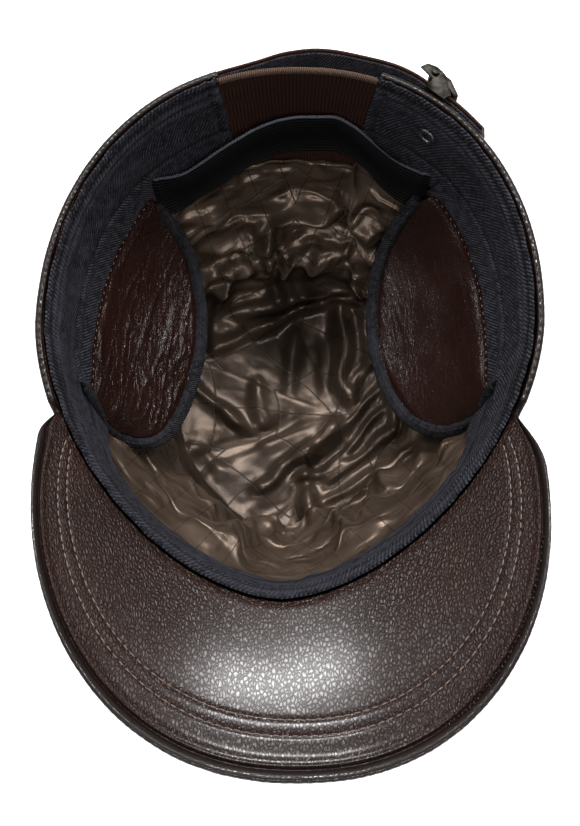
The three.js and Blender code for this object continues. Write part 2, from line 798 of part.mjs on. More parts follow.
[
  { suffix: "left", side: -1 },
  { suffix: "right", side: 1 },
].forEach(({ suffix, side }) => {
  const leatherStart = () => hingeStripWidth + layerGap;
  const leatherEnd = (turn) => flapLengthAt(side, turn) - bindingWidth - layerGap;
  const stripEnd = () => hingeStripWidth;
  const leather = flapSheet(side, 1, FLAP_STATIONS - 1, 4, leatherStart, leatherEnd, flapThickness);
  const strip = flapSheet(side, 0, FLAP_STATIONS, 1, () => 0, stripEnd, hingeStripThickness);
  piece(`ear_flap_${suffix}`, leather, flapLeather);
  piece(`flap_hinge_strip_${suffix}`, strip, blackTwill);
  piece(`flap_binding_${suffix}`, flapBinding(side), blackTwill);
});

// Elastic band between the rear tips of the flaps
function elasticBand() {
  const pathPoint = (share, down) => {
    const across = lookUp(ELASTIC_EDGE, "share", "across", share) * elasticHalfSpan;
    const rear = lookUp(ELASTIC_EDGE, "share", "rear", share) * elasticRear;
    const drop = lookUp(ELASTIC_EDGE, "share", "drop", share) * elasticDrop;
    const lean = radians(elasticLean);
    return place(across, rear - down * Math.sin(lean), -drop - down * Math.cos(lean));
  };
  const facePoint = (lift) => (columnShare, rowShare) => {
    const step = 0.01;
    const down = elasticWidth * rowShare;
    const before = pathPoint(Math.max(columnShare - step, 0), down);
    const after = pathPoint(Math.min(columnShare + step, 1), down);
    const drop = pathPoint(columnShare, 1).sub(pathPoint(columnShare, 0));
    const normal = after.sub(before).cross(drop).normalize();
    return pathPoint(columnShare, down).addScaledVector(normal, lift);
  };
  return slab(26, 2, facePoint(elasticThickness / 2), facePoint(-elasticThickness / 2));
}
piece("elastic_band", elasticBand(), blackElastic);

// Adjuster strap, outside the knit and over the right rear of the crown
function strapPoint(share, depth, inward) {
  const start = rearAzimuth(layerGap - gapEdge(depth), depth);
  const azimuth = mix(start, radians(strapTailTurn), share);
  const bow = lookUp(STRAP_BOW, "share", "bow", share) * strapBow;
  return layer(azimuth, depth, inward - bow);
}

function strapLayer(from, to) {
  const facePoint = (inward) => (columnShare, rowShare) => strapPoint(columnShare, strapWidth * rowShare, inward);
  return slab(30, 2, facePoint(from), facePoint(to));
}
const strapThickness = strapLeather + layerGap + strapCloth;
piece("adjuster_strap", strapLayer(0, strapLeather), crownLeather);
piece("strap_backing", strapLayer(strapLeather + layerGap, strapThickness), blackTwill);

// Clasp, in its own frame: X along the strap to its tail, Y outward from it, Z up its width
const clasp = new THREE.Group();
const strapMiddle = strapWidth / 2;
const strapStart = rearAzimuth(layerGap - gapEdge(strapMiddle), strapMiddle);
const claspShare = (radians(claspTurn) - strapStart) / (radians(strapTailTurn) - strapStart);
const strapSpan = strapPoint(claspShare, 0, 0).distanceTo(strapPoint(claspShare, strapWidth, 0));

function placeClasp() {
  const step = 0.01;
  const middle = strapMiddle;
  const share = claspShare;
  const along = strapPoint(share + step, middle, 0).sub(strapPoint(share - step, middle, 0)).normalize();
  const rise = strapPoint(share, middle - 1, 0).sub(strapPoint(share, middle + 1, 0));
  const outward = new THREE.Vector3().crossVectors(rise, along).normalize();
  const upward = new THREE.Vector3().crossVectors(along, outward);
  clasp.position.copy(strapPoint(share, middle, 0));
  clasp.quaternion.setFromRotationMatrix(new THREE.Matrix4().makeBasis(along, outward, upward));
}
placeClasp();
cap.add(clasp);

const cheekFrom = strapSpan / 2 + layerGap + facetGap;
const plateFloor = -(strapThickness + layerGap + facetGap + claspPlate);
const CLASP_SIDES = 12;

function extruded(shape, height, centre) {
  const geometry = new THREE.ExtrudeGeometry(shape, { depth: height, bevelEnabled: false, curveSegments: CLASP_SIDES });
  geometry.translate(0, 0, centre - height / 2);
  geometry.deleteAttribute("normal");
  geometry.deleteAttribute("uv");
  return weld(geometry);
}

function weld(geometry) {
  const skin = new Skin();
  const places = geometry.attributes.position;
  const order = geometry.index ? Array.from(geometry.index.array) : Array.from({ length: places.count }, (_, k) => k);
  const corner = (k) => skin.add(new THREE.Vector3().fromBufferAttribute(places, order[k]));
  for (let k = 0; k < order.length; k += 3) skin.triangle(corner(k), corner(k + 1), corner(k + 2));
  return skin.geometry();
}

function roundHole(x, y, radius) {
  return new THREE.Path().absarc(x, y, radius, 0, 2 * Math.PI, true);
}

function claspFrame() {
  const half = claspLength / 2;
  const footFrom = -half * 0.13;
  const cheek = new THREE.Shape();
  cheek.moveTo(footFrom, plateFloor);
  cheek.lineTo(half, plateFloor);
  cheek.lineTo(half * 1.1, -claspRise * 0.1);
  cheek.lineTo(half * 0.3, claspRise * 0.82);
  cheek.quadraticCurveTo(0, claspRise, -half * 0.4, claspRise);
  cheek.lineTo(-half * 0.85, claspRise * 0.8);
  cheek.lineTo(-half, claspRise * 0.3);
  cheek.lineTo(footFrom, claspRise * 0.1);
  cheek.closePath();
  cheek.holes.push(roundHole(-pinAhead, pinRise, pinRadius + layerGap));
  const centre = cheekFrom + cheekThickness / 2;
  const upper = toManifold(extruded(cheek, cheekThickness, centre));
  const lower = toManifold(extruded(cheek, cheekThickness, -centre));
  const plateWidth = half - footFrom;
  const plate = new THREE.BoxGeometry(plateWidth, claspPlate, 2 * centre);
  plate.translate(footFrom + plateWidth / 2, plateFloor + claspPlate / 2, 0);
  return fromManifold(upper.add(lower).add(toManifold(weld(plate))));
}

function claspLever() {
  const outline = new THREE.Shape();
  const armRise = pinRise + leverBarrel - leverThickness;
  const tipRise = layerGap * 2;
  outline.absarc(-pinAhead, pinRise, leverBarrel, Math.PI / 2, (3 * Math.PI) / 2 + 0.6, false);
  outline.lineTo(leverLength * 0.45, armRise - leverThickness);
  outline.lineTo(leverLength, tipRise);
  outline.lineTo(leverLength + leverThickness, tipRise + leverThickness);
  outline.lineTo(leverLength * 0.45, armRise + leverThickness);
  outline.closePath();
  outline.holes.push(roundHole(-pinAhead, pinRise, pinRadius + layerGap));
  return extruded(outline, 2 * (cheekFrom - layerGap), 0);
}

function claspPin() {
  const reach = cheekFrom + cheekThickness + layerGap;
  const profile = [
    [0, -reach - pinRadius],
    [pinHeadRadius, -reach - pinRadius],
    [pinHeadRadius, -reach],
    [pinRadius, -reach],
    [pinRadius, reach],
    [pinHeadRadius, reach],
    [pinHeadRadius, reach + pinRadius],
    [0, reach + pinRadius],
  ].map(([radius, height]) => new THREE.Vector2(radius, height));
  const geometry = new THREE.LatheGeometry(profile, CLASP_SIDES);
  geometry.rotateX(Math.PI / 2);
  geometry.translate(-pinAhead, pinRise, 0);
  return weld(geometry);
}
piece("clasp_frame", claspFrame(), claspMetal, clasp);
piece("clasp_lever", claspLever(), claspMetal, clasp);
piece("clasp_pin", claspPin(), claspMetal, clasp);

// Ring eyelet on the sweatband, right of the gap
function ringEyelet() {
  const web = 0.4;
  const profile = [
    [0, 0],
    [eyeletRadius * 0.94, 0],
    [eyeletRadius, eyeletHeight * 0.4],
    [eyeletRadius * 0.9, eyeletHeight],
    [eyeletRadius * 0.72, eyeletHeight],
    [eyeletRadius * 0.6, web],
    [0, web],
  ].map(([radius, height]) => new THREE.Vector2(radius, height));
  return weld(new THREE.LatheGeometry(profile, 16));
}
const eyelet = piece("ring_eyelet", ringEyelet(), eyeletMetal);
const eyeletOffset = bandInner + bandPuff + layerGap + 2 * facetGap;
eyelet.position.copy(layer(radians(eyeletTurn), eyeletDepth, eyeletOffset));
const eyeletAxis = layer(radians(eyeletTurn), eyeletDepth, eyeletOffset + 1).sub(eyelet.position).normalize();
eyelet.quaternion.setFromUnitVectors(new THREE.Vector3(0, 1, 0), eyeletAxis);

// The origin is under the middle of the whole cap, on the surface that it lies on
const box = new THREE.Box3().setFromObject(cap, true);
cap.position.set(-(box.min.x + box.max.x) / 2, -(box.min.y + box.max.y) / 2, -box.min.z);

export default cap;
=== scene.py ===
"""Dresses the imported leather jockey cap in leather, twill, satin, knit, elastic and metal."""

import math

import bpy
import numpy as np
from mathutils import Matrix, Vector


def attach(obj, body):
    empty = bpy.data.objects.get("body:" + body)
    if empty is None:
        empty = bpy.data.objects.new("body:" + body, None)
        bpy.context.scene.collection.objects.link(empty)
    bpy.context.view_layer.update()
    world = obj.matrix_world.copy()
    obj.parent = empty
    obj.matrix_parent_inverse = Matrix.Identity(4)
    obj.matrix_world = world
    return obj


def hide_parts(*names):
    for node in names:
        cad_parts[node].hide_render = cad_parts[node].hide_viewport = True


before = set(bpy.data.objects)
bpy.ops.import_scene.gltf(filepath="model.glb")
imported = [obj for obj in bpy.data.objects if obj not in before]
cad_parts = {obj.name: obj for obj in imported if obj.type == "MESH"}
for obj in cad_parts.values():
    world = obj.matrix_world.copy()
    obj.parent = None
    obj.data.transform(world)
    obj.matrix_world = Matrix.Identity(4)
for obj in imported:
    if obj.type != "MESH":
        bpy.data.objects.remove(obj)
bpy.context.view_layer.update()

bl_info = {
    "name": "Leather Jockey Cap",
    "version": (1, 0, 0),
    "blender": (4, 5, 0),
    "location": "3D View > Sidebar > Cap",
    "description": "Leather, twill, satin, knit and elastic for a jockey cap with ear flaps",
    "category": "Object",
}

# Sizes in millimetres about the rim's centre: X across, Y to the rear, Z up from the front rim
MM = 0.001
RIM_CENTRE = np.array((0.0004, 28.274, 112.0))
RIM_HALF_WIDTH, FRONT_REACH, REAR_REACH = 89.4, 101.8, 99.6
FRONT_FULLNESS, REAR_FULLNESS = 1.73, 2.15
CROWN_DEPTH, RIM_RISE, RISE_START, RISE_CURVE, RIM_SKEW = 112.0, 6.5, 0.3, 1.7, 0.03
LEATHER, LAYER_GAP, FACET_GAP, PANEL_PUFF, HEM_HEIGHT = 1.3, 0.3, 0.15, 1.5, 7.0
GAP_HALF_WIDTH, GAP_FOOT, GAP_DEPTH = 31.0, 23.0, 50.0
KNIT_DROP, KNIT_LAP, KNIT_THICKNESS = 1.0, 3.0, 1.3
BAND_HEIGHT, BAND_THICKNESS, BAND_LIP = 34.0, 1.6, 0.9
BAND_ROWS = (2.4, 7.6, 31.0)
BAND_OUTER = LEATHER + LAYER_GAP + FACET_GAP
BAND_INNER = BAND_OUTER + BAND_THICKNESS
STAR_ACROSS, STAR_FORWARD = 18.0, 5.0
PEAK_HALF_WIDTH, PEAK_REACH, PEAK_CENTRE, PEAK_FULLNESS = 88.0, 103.0, 60.0, 2.25
PEAK_PITCH, PEAK_BEND, PEAK_TURN, PEAK_RAMP = 17.0, 138.0, 68.0, 2.0
PEAK_TUCK, PEAK_SWING, PEAK_THICKNESS, PEAK_CORNER, PEAK_DIP = 3.0, 2.5, 3.8, 2.6, 3.0
ROLL_WIDTH = 4.2
FLAP_REAR_TURN, FLAP_FRONT_TURN, HINGE_TUCK = 50.5, -12.0, 1.0
FLAP_SAG, FLAP_START = 5.0, 0.05
STRIP_WIDTH, STRIP_THICKNESS, STRIP_LAP, BINDING_WIDTH = 7.0, 1.4, 5.5, 5.0
ELASTIC_WIDTH, ELASTIC_THICKNESS = 20.0, 1.2
# The sweatband's drop by the flaps' front ends is a dark strip that stands in for shadow there.
BAND_REAR_EXTRA, BAND_SHADOW_DROP, BAND_REAR_TURN, BAND_REAR_END = 9.0, 14.0, 108.0, 132.0
STRAP_WIDTH, STRAP_BOW, STRAP_LEATHER, STRAP_CLOTH, STRAP_TAIL_TURN = 20.0, 7.2, 1.4, 1.0, 46.0
EYELET_TURN, EYELET_DEPTH, EYELET_RADIUS = 57.0, 14.5, 3.5

# The camera, in millimetres about the rim's centre
CAMERA_DISTANCE, CAMERA_TILT_DEG, CAMERA_AIM_Y, CAMERA_LENS, SENSOR_WIDTH = 650.0, 18.0, -33.0, 78.8, 36.0
# Soft lights in metres and watts: name, place, aim, breadth and height, power
SOFTBOXES = (
    ("rear_softbox", (0.06, 1.04, 1.39), (0, -0.1, 0.13), (1.05, 0.22), 30.0),
    ("front_softbox", (0.05, -0.75, 1.5), (0, 0.05, 0.05), (0.5, 0.4), 8.0),
    ("left_softbox", (-0.75, 0.37, 0.95), (0, 0.03, 0.05), (0.42, 0.2), 4.4),
    ("right_softbox", (0.75, 0.37, 0.95), (0, 0.03, 0.05), (0.42, 0.2), 4.4),
)
FLOOR_SIZE, FLOOR_GLOW, WORLD_LIGHT = 8, 0.75, 0.06

# Shares of the crown from the rim (way 0) to its centre (way 1)
CROWN = {
    "way": (0.0, 0.07, 0.2, 0.34, 0.47, 0.57, 0.64, 0.69, 1.0),
    "depth": (0.0, 0.11, 0.3, 0.52, 0.73, 0.88, 0.965, 1.0, 1.0),
    "side": (1.0, 0.98, 0.922, 0.852, 0.772, 0.69, 0.605, 0.52, 0.0),
    "front": (1.0, 0.967, 0.893, 0.812, 0.735, 0.668, 0.605, 0.545, 0.0),
    "rear": (1.0, 0.978, 0.92, 0.832, 0.732, 0.64, 0.548, 0.45, 0.0),
}
FLAT_WAY = 0.69
# Each flap's free edge in place, in millimetres, from its rear tip (turn 0) round to its front end (turn 1)
FLAP_TURNS = (0.0, 0.06, 0.13, 0.19, 0.27, 0.37, 0.48, 0.58, 0.69, 0.79, 0.86, 0.9, 0.93, 0.96, 0.985, 1.0)
FLAP_LEFT = {
    "turn": FLAP_TURNS,
    "x": (54, 49.8, 45.5, 41.7, 37.7, 35.2, 33.8, 34.0, 36.1, 39.6, 43.2, 47.5, 54.5, 62.3, 70.0, 74.6),
    "y": (62.0, 59.4, 56.5, 52.8, 45.3, 35.2, 24.3, 12.8, 1.2, -11.5, -20.5, -27.3, -30.6, -29.8, -27.0, -23.8),
    "z": (-36, -43, -48, -53.5, -61.7, -66.4, -69.2, -70, -70, -68, -65, -62, -59.5, -57, -50, -43),
}
FLAP_RIGHT = {
    "turn": FLAP_TURNS,
    "x": (50.5, 46.0, 41.8, 38.0, 34.2, 31.8, 30.9, 31.6, 34.5, 39.0, 44.3, 50.2, 58.0, 65.6, 72.2, 75.6),
    "y": (63.0, 61.0, 58.2, 53.6, 45.7, 35.2, 24.3, 12.8, 1.2, -10.0, -18.0, -23.0, -25.9, -25.6, -21.5, -17.5),
    "z": (-35, -39, -45, -53, -61.1, -66.4, -69.2, -70, -70, -68.3, -65.7, -62.7, -58.5, -53, -46, -39),
}
# The elastic's upper edge in place, and how far its lower edge leans forward and draws across, in millimetres
ELASTIC = {
    "share": (0.0, 0.07, 0.13, 0.22, 0.3, 0.37, 0.44, 0.5, 0.57, 0.66, 0.73, 0.79, 0.85, 0.92, 0.97, 1.0),
    "x": (-54.0, -47.5, -41.7, -33.9, -26.2, -18.6, -11, -3.4, 4.2, 15.5, 23.1, 28.8, 34.7, 42.5, 50.3, 54.2),
    "y": (66.4, 66.5, 67.3, 70.6, 75.0, 78.6, 82.2, 84.4, 85.4, 85.4, 82.6, 79.0, 75.4, 71.8, 69.2, 68.6),
    "z": (-27, -26, -25, -22, -19, -16, -14, -12.5, -12, -12, -13.5, -16, -20, -25, -27, -28),
    "lean": (9, 7, 5.5, 5.5, 6, 5.2, 5.2, 5.3, 5.2, 5.2, 4.6, 5, 7.0, 7.6, 7.5, 7),
    "draw": (4.6, 2.5, 1, 0, 0, 0, 0, 0, 0, 0, 0, 0, 0, 0, -1, -2),
}
STRAP = {
    "share": (0.0, 0.07, 0.14, 0.26, 0.36, 0.49, 0.62, 0.69, 0.76, 0.86, 1.0),
    "bow": (0.19, 0.22, 0.35, 0.79, 1.0, 0.93, 0.985, 0.93, 0.78, 0.71, 0.65),
}
# A look down from above the opening puts each fold of the lining in plan on a level near the bottom
ABOVE_OPENING, LINING_LEVEL = np.array((0.0, -200.9, 618.2)), -99.0
# Folds of the lining in that plan: from x, y, to x, y, breadth behind and before, height
LINING_FOLDS = (
    (-31, 20, -11, 27, 3.2, 1.3, 1.0), (-11, 27, 5, 35, 3.2, 1.3, 1.0), (5, 35, 21, 40, 3.0, 1.3, 0.8),
    (21, 40, 35, 47, 3.2, 1.4, 0.9), (-35, 71, -11, 78, 4.0, 2.0, 0.9), (-31, 60, -33, 43, 3.2, 3.0, 0.7),
    (-33, 43, -32, 30, 3.2, 3.0, 0.6), (-3, 85, 17, 86, 3.8, 2.2, 0.9), (-3, 73, -3, 55, 2.6, 3.2, 0.7),
    (-3, 55, 0, 43, 2.6, 3.2, 0.6), (14, 70, 10, 47, 3.4, 3.4, 0.6), (-11, 76, -11, 65, 2.2, 2.2, 0.6),
    (-27, 62, -14, 60, 3.0, 3.0, 0.5), (27, 92, 38, 78, 3.0, 3.0, 0.9), (29, 70, 41, 68, 2.4, 2.4, 0.6),
    (29, 60, 31, 46, 3.0, 3.0, 0.8), (21, 35, 23, -1, 3.0, 3.0, 1.0), (30, 35, 32, 17, 2.6, 2.6, 0.8),
    (34, 17, 26, 1, 2.2, 2.2, 0.6), (-27, 38, -11, 43, 3.5, 3.5, 0.6), (-25, 30, -9, 31, 2.6, 2.6, 0.5),
    (1, 23, 0, 6, 3.0, 3.0, 0.6), (-38, 3, -23, -9, 2.6, 2.6, 0.8), (-23, -9, -15, -18, 2.2, 2.2, 0.8),
    (-13, 3, -11, -11, 2.6, 2.6, 0.7), (-11, -37, 6, -27, 3.4, 1.8, 1.0), (6, -24, 17, -14, 3.0, 2.0, 0.9),
    (6, -27, 7, -48, 2.2, 2.4, 0.8), (7, -35, 21, -29, 2.4, 1.6, 0.7), (7, -45, 13, -59, 3.6, 3.6, 0.9),
    (-8, -63, 25, -62, 3.4, 3.4, 1.0), (-27, -68, -11, -66, 3.6, 2.0, 0.9), (-45, -61, -27, -70, 3.0, 3.0, 0.9),
    (19, -16, 34, -1, 1.8, 1.8, 0.7), (18, -27, 37, -9, 1.6, 1.6, 0.7), (18, -34, 42, -16, 1.8, 1.8, 0.7),
    (18, -43, 31, -35, 1.8, 1.8, 0.6), (25, -51, 40, -42, 2.4, 2.4, 0.6), (31, -65, 43, -55, 3.0, 2.2, 0.9),
    (47, -43, 50, -30, 2.6, 2.6, 0.8), (40, 2, 42, -11, 2.2, 2.2, 0.7), (-40, -24, -30, -30, 2.6, 2.6, 0.5),
    (-52, -45, -40, -55, 3.2, 3.2, 0.5), (-38, -34, 13, -13, 4.4, 4.4, 0.35), (-41, -34, -15, -20, 4.5, 4.5, -0.9),
    (-15, -20, -2, -11, 3.5, 3.5, -0.5), (-1, 81, 17, 81, 2.0, 2.0, -0.8), (-36, 68, -11, 73, 2.2, 2.2, -0.9),
    (27, 88, 27, 65, 2.0, 2.0, -0.7), (27, 65, 35, 45, 2.2, 2.2, -0.5), (7, -30, 20, -23, 2.2, 2.2, -0.9),
    (-39, 43, -36, 23, 2.4, 2.4, -0.7), (14, 23, 15, 4, 3.0, 3.0, -0.5), (-8, 60, -5, 43, 2.6, 2.6, -0.5),
    (-25, -59, 4, -39, 3.0, 3.0, -0.5), (33, -59, 39, -43, 2.4, 2.4, -0.6), (-26, -24, 5, -11, 2.6, 2.6, -0.3),
    (5, 98, 21, 96, 2.6, 2.6, -0.6),
)
PANELS = (
    ("side_right", -30), ("rear_right", 30), ("rear_left", 90),
    ("side_left", 150), ("front_left", 210), ("front_right", 270),
)
UP = np.array((0.0, 0.0, 1.0))


# Shape maths
def mix(start, end, share):
    return start + (end - start) * share


def alike(*values):
    """Numbers or arrays as arrays of one shape."""
    return np.broadcast_arrays(*(np.asarray(value, float) for value in values))


def smooth_step(value, low, high):
    share = np.clip((value - low) / (high - low), 0, 1)
    return share * share * (3 - 2 * share)


def bell(distance, breadth):
    return np.exp(-np.square(distance / breadth))


def unit(vectors):
    return vectors / np.maximum(np.linalg.norm(vectors, axis=-1, keepdims=True), 1e-12)


def look_up(table, key, column, at):
    """A smooth value of one column of a table at a place along its key column."""
    keys, values = np.array(table[key]), np.array(table[column])
    spans, secants = np.diff(keys), np.diff(values) / np.diff(keys)
    before, after = secants[:-1], secants[1:]
    both = np.where(before * after > 0, before + after, 1)
    inner = np.where(before * after > 0, 2 * before * after / both, 0)
    slopes = np.concatenate((secants[:1], inner, secants[-1:]))
    row = np.clip(np.searchsorted(keys, at) - 1, 0, len(spans) - 1)
    span, t = spans[row], (at - keys[row]) / spans[row]
    square, cube = t * t, t * t * t
    return (
        (2 * cube - 3 * square + 1) * values[row]
        + (cube - 2 * square + t) * slopes[row] * span
        + (3 * square - 2 * cube) * values[row + 1]
        + (cube - square) * slopes[row + 1] * span
    )


def lumps(points, breadth, seed):
    """Smooth noise from -1 to 1 with lumps about a breadth wide, which may differ along each axis."""
    scaled = points / np.array(breadth) + seed * 7.31
    base = np.floor(scaled).astype(np.int64)
    t = scaled - base
    t = t * t * (3 - 2 * t)
    total = np.zeros(len(scaled))
    for corner in np.ndindex(2, 2, 2):
        cell = base + corner
        mixed = (cell[:, 0] * 73856093) ^ (cell[:, 1] * 19349663) ^ (cell[:, 2] * 83492791) ^ (seed * 2654435)
        mixed = (mixed ^ (mixed >> 13)) * 1274126177
        value = ((mixed >> 7) & 0xFFFF) / 32767.5 - 1
        total += value * np.prod(np.where(corner, t, 1 - t), axis=1)
    return total


# The cap's surfaces
def place(x, y, z):
    return np.stack(np.broadcast_arrays(x + RIM_SKEW * y, y, z), -1)


def rim_radius(azimuth):
    rear = np.sin(azimuth) > 0
    fullness = np.where(rear, REAR_FULLNESS, FRONT_FULLNESS)
    across = np.abs(np.cos(azimuth)) / RIM_HALF_WIDTH
    along = np.abs(np.sin(azimuth)) / np.where(rear, REAR_REACH, FRONT_REACH)
    return (across**fullness + along**fullness) ** (-1 / fullness)


def rim_height(y):
    share = np.clip((-y / FRONT_REACH - RISE_START) / (1 - RISE_START), 0, 1)
    return RIM_RISE * (1 - share**RISE_CURVE)


def crown_face(azimuth, way, puff=0.0):
    radius = rim_radius(azimuth)
    rim_y = radius * np.sin(azimuth)
    ripple = np.abs(np.sin(3 * (azimuth - math.pi / 2)))
    swell = puff * ripple * np.sin(math.pi * np.minimum(way / FLAT_WAY, 1))
    depth = np.minimum(look_up(CROWN, "way", "depth", way), 1)
    side = look_up(CROWN, "way", "side", way)
    along = np.where(rim_y > 0, look_up(CROWN, "way", "rear", way), look_up(CROWN, "way", "front", way))
    x = (radius * side + swell) * np.cos(azimuth)
    y = (radius * along + swell) * np.sin(azimuth)
    return place(x, y, mix(rim_height(rim_y), -CROWN_DEPTH, depth))


def wall(azimuth, way, offset, puff=0.0):
    """A point at an offset inward from the crown's outer face."""
    azimuth, way, offset = alike(azimuth, way, offset)
    turn_step, way_step = math.radians(1), 0.004
    point = crown_face(azimuth, way, puff)
    around = crown_face(azimuth + turn_step, way, puff) - crown_face(azimuth - turn_step, way, puff)
    down = crown_face(azimuth, way + way_step, puff) - crown_face(azimuth, np.maximum(way - way_step, 0), puff)
    normal = unit(np.cross(around, down))
    outward = normal[..., 0] * point[..., 0] + normal[..., 1] * point[..., 1] > 0
    normal = np.where(outward[..., None], -normal, normal)
    normal = np.where((way > FLAT_WAY + way_step)[..., None], UP, normal)
    return point + normal * offset[..., None]


DENSE_WAYS = np.linspace(0, FLAT_WAY, 3000)
DENSE_DEPTHS = np.maximum.accumulate(look_up(CROWN, "way", "depth", DENSE_WAYS))


def way_at_depth(azimuth, depth):
    height = CROWN_DEPTH + rim_height(rim_radius(azimuth) * np.sin(azimuth))
    return np.interp(depth / height, DENSE_DEPTHS, DENSE_WAYS)


def layer(azimuth, depth, offset):
    """A point by depth below the rim, or straight above the rim where the depth is negative."""
    azimuth, depth, offset = alike(azimuth, depth, offset)
    below = np.maximum(depth, 0)
    point = wall(azimuth, way_at_depth(azimuth, below), offset)
    return point + UP * (below - depth)[..., None]


def rear_azimuth(across, depth):
    """The azimuth in the rear half at a distance across the cap and a depth."""
    across, depth = alike(across, depth)
    side = look_up(CROWN, "way", "side", way_at_depth(math.pi / 2, np.maximum(depth, 0)))
    low, high = np.zeros(across.shape), np.full(across.shape, math.pi)
    for _ in range(30):
        middle = (low + high) / 2
        rising = across - rim_radius(middle) * np.cos(middle) * side < 0
        low, high = np.where(rising, middle, low), np.where(rising, high, middle)
    return (low + high) / 2


def gap_edge(depth):
    return mix(GAP_HALF_WIDTH, GAP_FOOT, depth / GAP_DEPTH)


def peak_depth(turn):
    return mix(PEAK_THICKNESS, PEAK_CORNER, np.abs(turn) ** 8)


def under_peak(azimuth):
    """How far the crown's upper edge lies below the rim, to pass under the peak."""
    turn = np.abs(np.mod(azimuth + 1.5 * math.pi, 2 * math.pi) - math.pi)
    limit, ramp = math.radians(PEAK_TURN), math.radians(PEAK_RAMP)
    share = np.clip((limit + ramp - turn) / ramp, 0, 1)
    return (peak_depth(np.minimum(turn / limit, 1)) + LAYER_GAP) * share


def signed_power(value, exponent):
    return np.sign(value) * np.abs(value) ** exponent


def peak_ends(turn):
    """Inner and outer ends of the peak's section at a turn from -1 (left corner) to 1 (right)."""
    inner = wall(np.radians(-90 + PEAK_TURN * turn), 0.0, LEATHER)
    corner = wall(math.radians(PEAK_TURN - 90), 0.0, LEATHER)
    sweep = math.pi / 2 + math.asin(((PEAK_CENTRE + corner[1]) / PEAK_REACH) ** (PEAK_FULLNESS / 2))
    forward = signed_power(np.cos(sweep * turn), 2 / PEAK_FULLNESS)
    x = PEAK_HALF_WIDTH * signed_power(np.sin(sweep * turn), 2 / PEAK_FULLNESS)
    y = -PEAK_CENTRE - PEAK_REACH * forward
    pitched = math.tan(math.radians(PEAK_PITCH)) * (-y - FRONT_REACH + BAND_OUTER)
    bent = PEAK_BEND - np.sqrt(PEAK_BEND**2 - x * x)
    z = pitched + bent - PEAK_TUCK * np.abs(turn) ** 10
    return inner, np.stack((x + PEAK_SWING * np.maximum(forward, 0), y, z), -1)


def peak_width(turn):
    inner, outer = peak_ends(turn)
    return np.linalg.norm((inner - outer)[..., :2], axis=-1)


def peak_scale(turn):
    return np.minimum(1, peak_width(turn) / (3 * ROLL_WIDTH))


def peak_point(turn, from_edge, rise):
    inner, outer = peak_ends(turn)
    share = from_edge / peak_width(turn)
    tuck = smooth_step(np.abs(turn), np.where(turn > 0, 0.87, 0.94), 1.0) ** 1.5
    tucked = mix(outer, inner, 0.93 * tuck[..., None])
    return mix(tucked, inner, share[..., None]) + UP * (rise * (1 - 0.5 * tuck) - PEAK_DIP * tuck)[..., None]


def hinge_point(side, turn):
    azimuth = np.radians(mix(FLAP_REAR_TURN, FLAP_FRONT_TURN, turn))
    offset = BAND_INNER + LAYER_GAP + FACET_GAP + STRIP_THICKNESS / 2
    return layer(azimuth if side > 0 else math.pi - azimuth, BAND_HEIGHT - HINGE_TUCK, offset)


def free_point(side, turn):
    table = FLAP_RIGHT if side > 0 else FLAP_LEFT
    x, y, z = (look_up(table, "turn", column, turn) for column in ("x", "y", "z"))
    return np.stack((side * x, y, z), -1)


def flap_span(side, turn):
    return np.linalg.norm(hinge_point(side, turn) - free_point(side, turn), axis=-1)


def flap_middle(side, turn, from_hinge):
    share = from_hinge / flap_span(side, turn)
    sag = FLAP_SAG * 4 * share * (1 - share) * np.sin(math.pi * np.minimum(turn, 1))
    return mix(hinge_point(side, turn), free_point(side, turn), share[..., None]) - UP * sag[..., None]


def flap_point(side, turn, from_hinge, lift):
    turn, from_hinge, lift = alike(turn, from_hinge, lift)
    before = flap_middle(side, np.maximum(turn - 0.01, 0), from_hinge)
    after = flap_middle(side, np.minimum(turn + 0.01, 1), from_hinge)
    outward = flap_middle(side, turn, from_hinge + 0.3) - flap_middle(side, turn, from_hinge - 0.3)
    normal = unit(np.cross(after - before, outward))
    normal = np.where(normal[..., 2:] < 0, -normal, normal)
    return flap_middle(side, turn, from_hinge) + normal * lift[..., None]


def elastic_line(share, down):
    held = np.clip(share, 0, 1)
    x, y, z, lean, draw = (look_up(ELASTIC, "share", column, held) for column in ("x", "y", "z", "lean", "draw"))
    below = down / ELASTIC_WIDTH
    return np.stack((x + draw * below, y - lean * below, z - np.sqrt(ELASTIC_WIDTH**2 - lean**2) * below), -1)


def elastic_point(share, down, lift):
    share, down, lift = alike(share, down, lift)
    step = 0.01
    run = elastic_line(share + step, down) - elastic_line(share - step, down)
    drop = elastic_line(share, down + 1) - elastic_line(share, down)
    return elastic_line(share, down) + unit(np.cross(run, drop)) * lift[..., None]


def strap_point(share, depth, inward):
    start = rear_azimuth(LAYER_GAP - gap_edge(depth), depth)
    azimuth = mix(start, math.radians(STRAP_TAIL_TURN), share)
    return layer(azimuth, depth, inward - look_up(STRAP, "share", "bow", share) * STRAP_BOW)


# Making and finishing meshes
def select_only(piece=None):
    if bpy.context.object and bpy.context.object.mode != "OBJECT":
        bpy.ops.object.mode_set(mode="OBJECT")
    bpy.ops.object.select_all(action="DESELECT")
    if piece:
        piece.select_set(True)
        bpy.context.view_layer.objects.active = piece


def edit(piece, *steps):
    """Runs steps in edit mode with the whole piece selected."""
    select_only(piece)
    bpy.ops.object.mode_set(mode="EDIT")
    bpy.ops.mesh.select_all(action="SELECT")
    for step in steps:
        step()
    bpy.ops.object.mode_set(mode="OBJECT")


def merge_points():
    bpy.ops.mesh.remove_doubles(threshold=1e-6)


def close_ends():
    bpy.ops.mesh.fill_holes(sides=0)


def face_outward():
    bpy.ops.mesh.normals_make_consistent(inside=False)


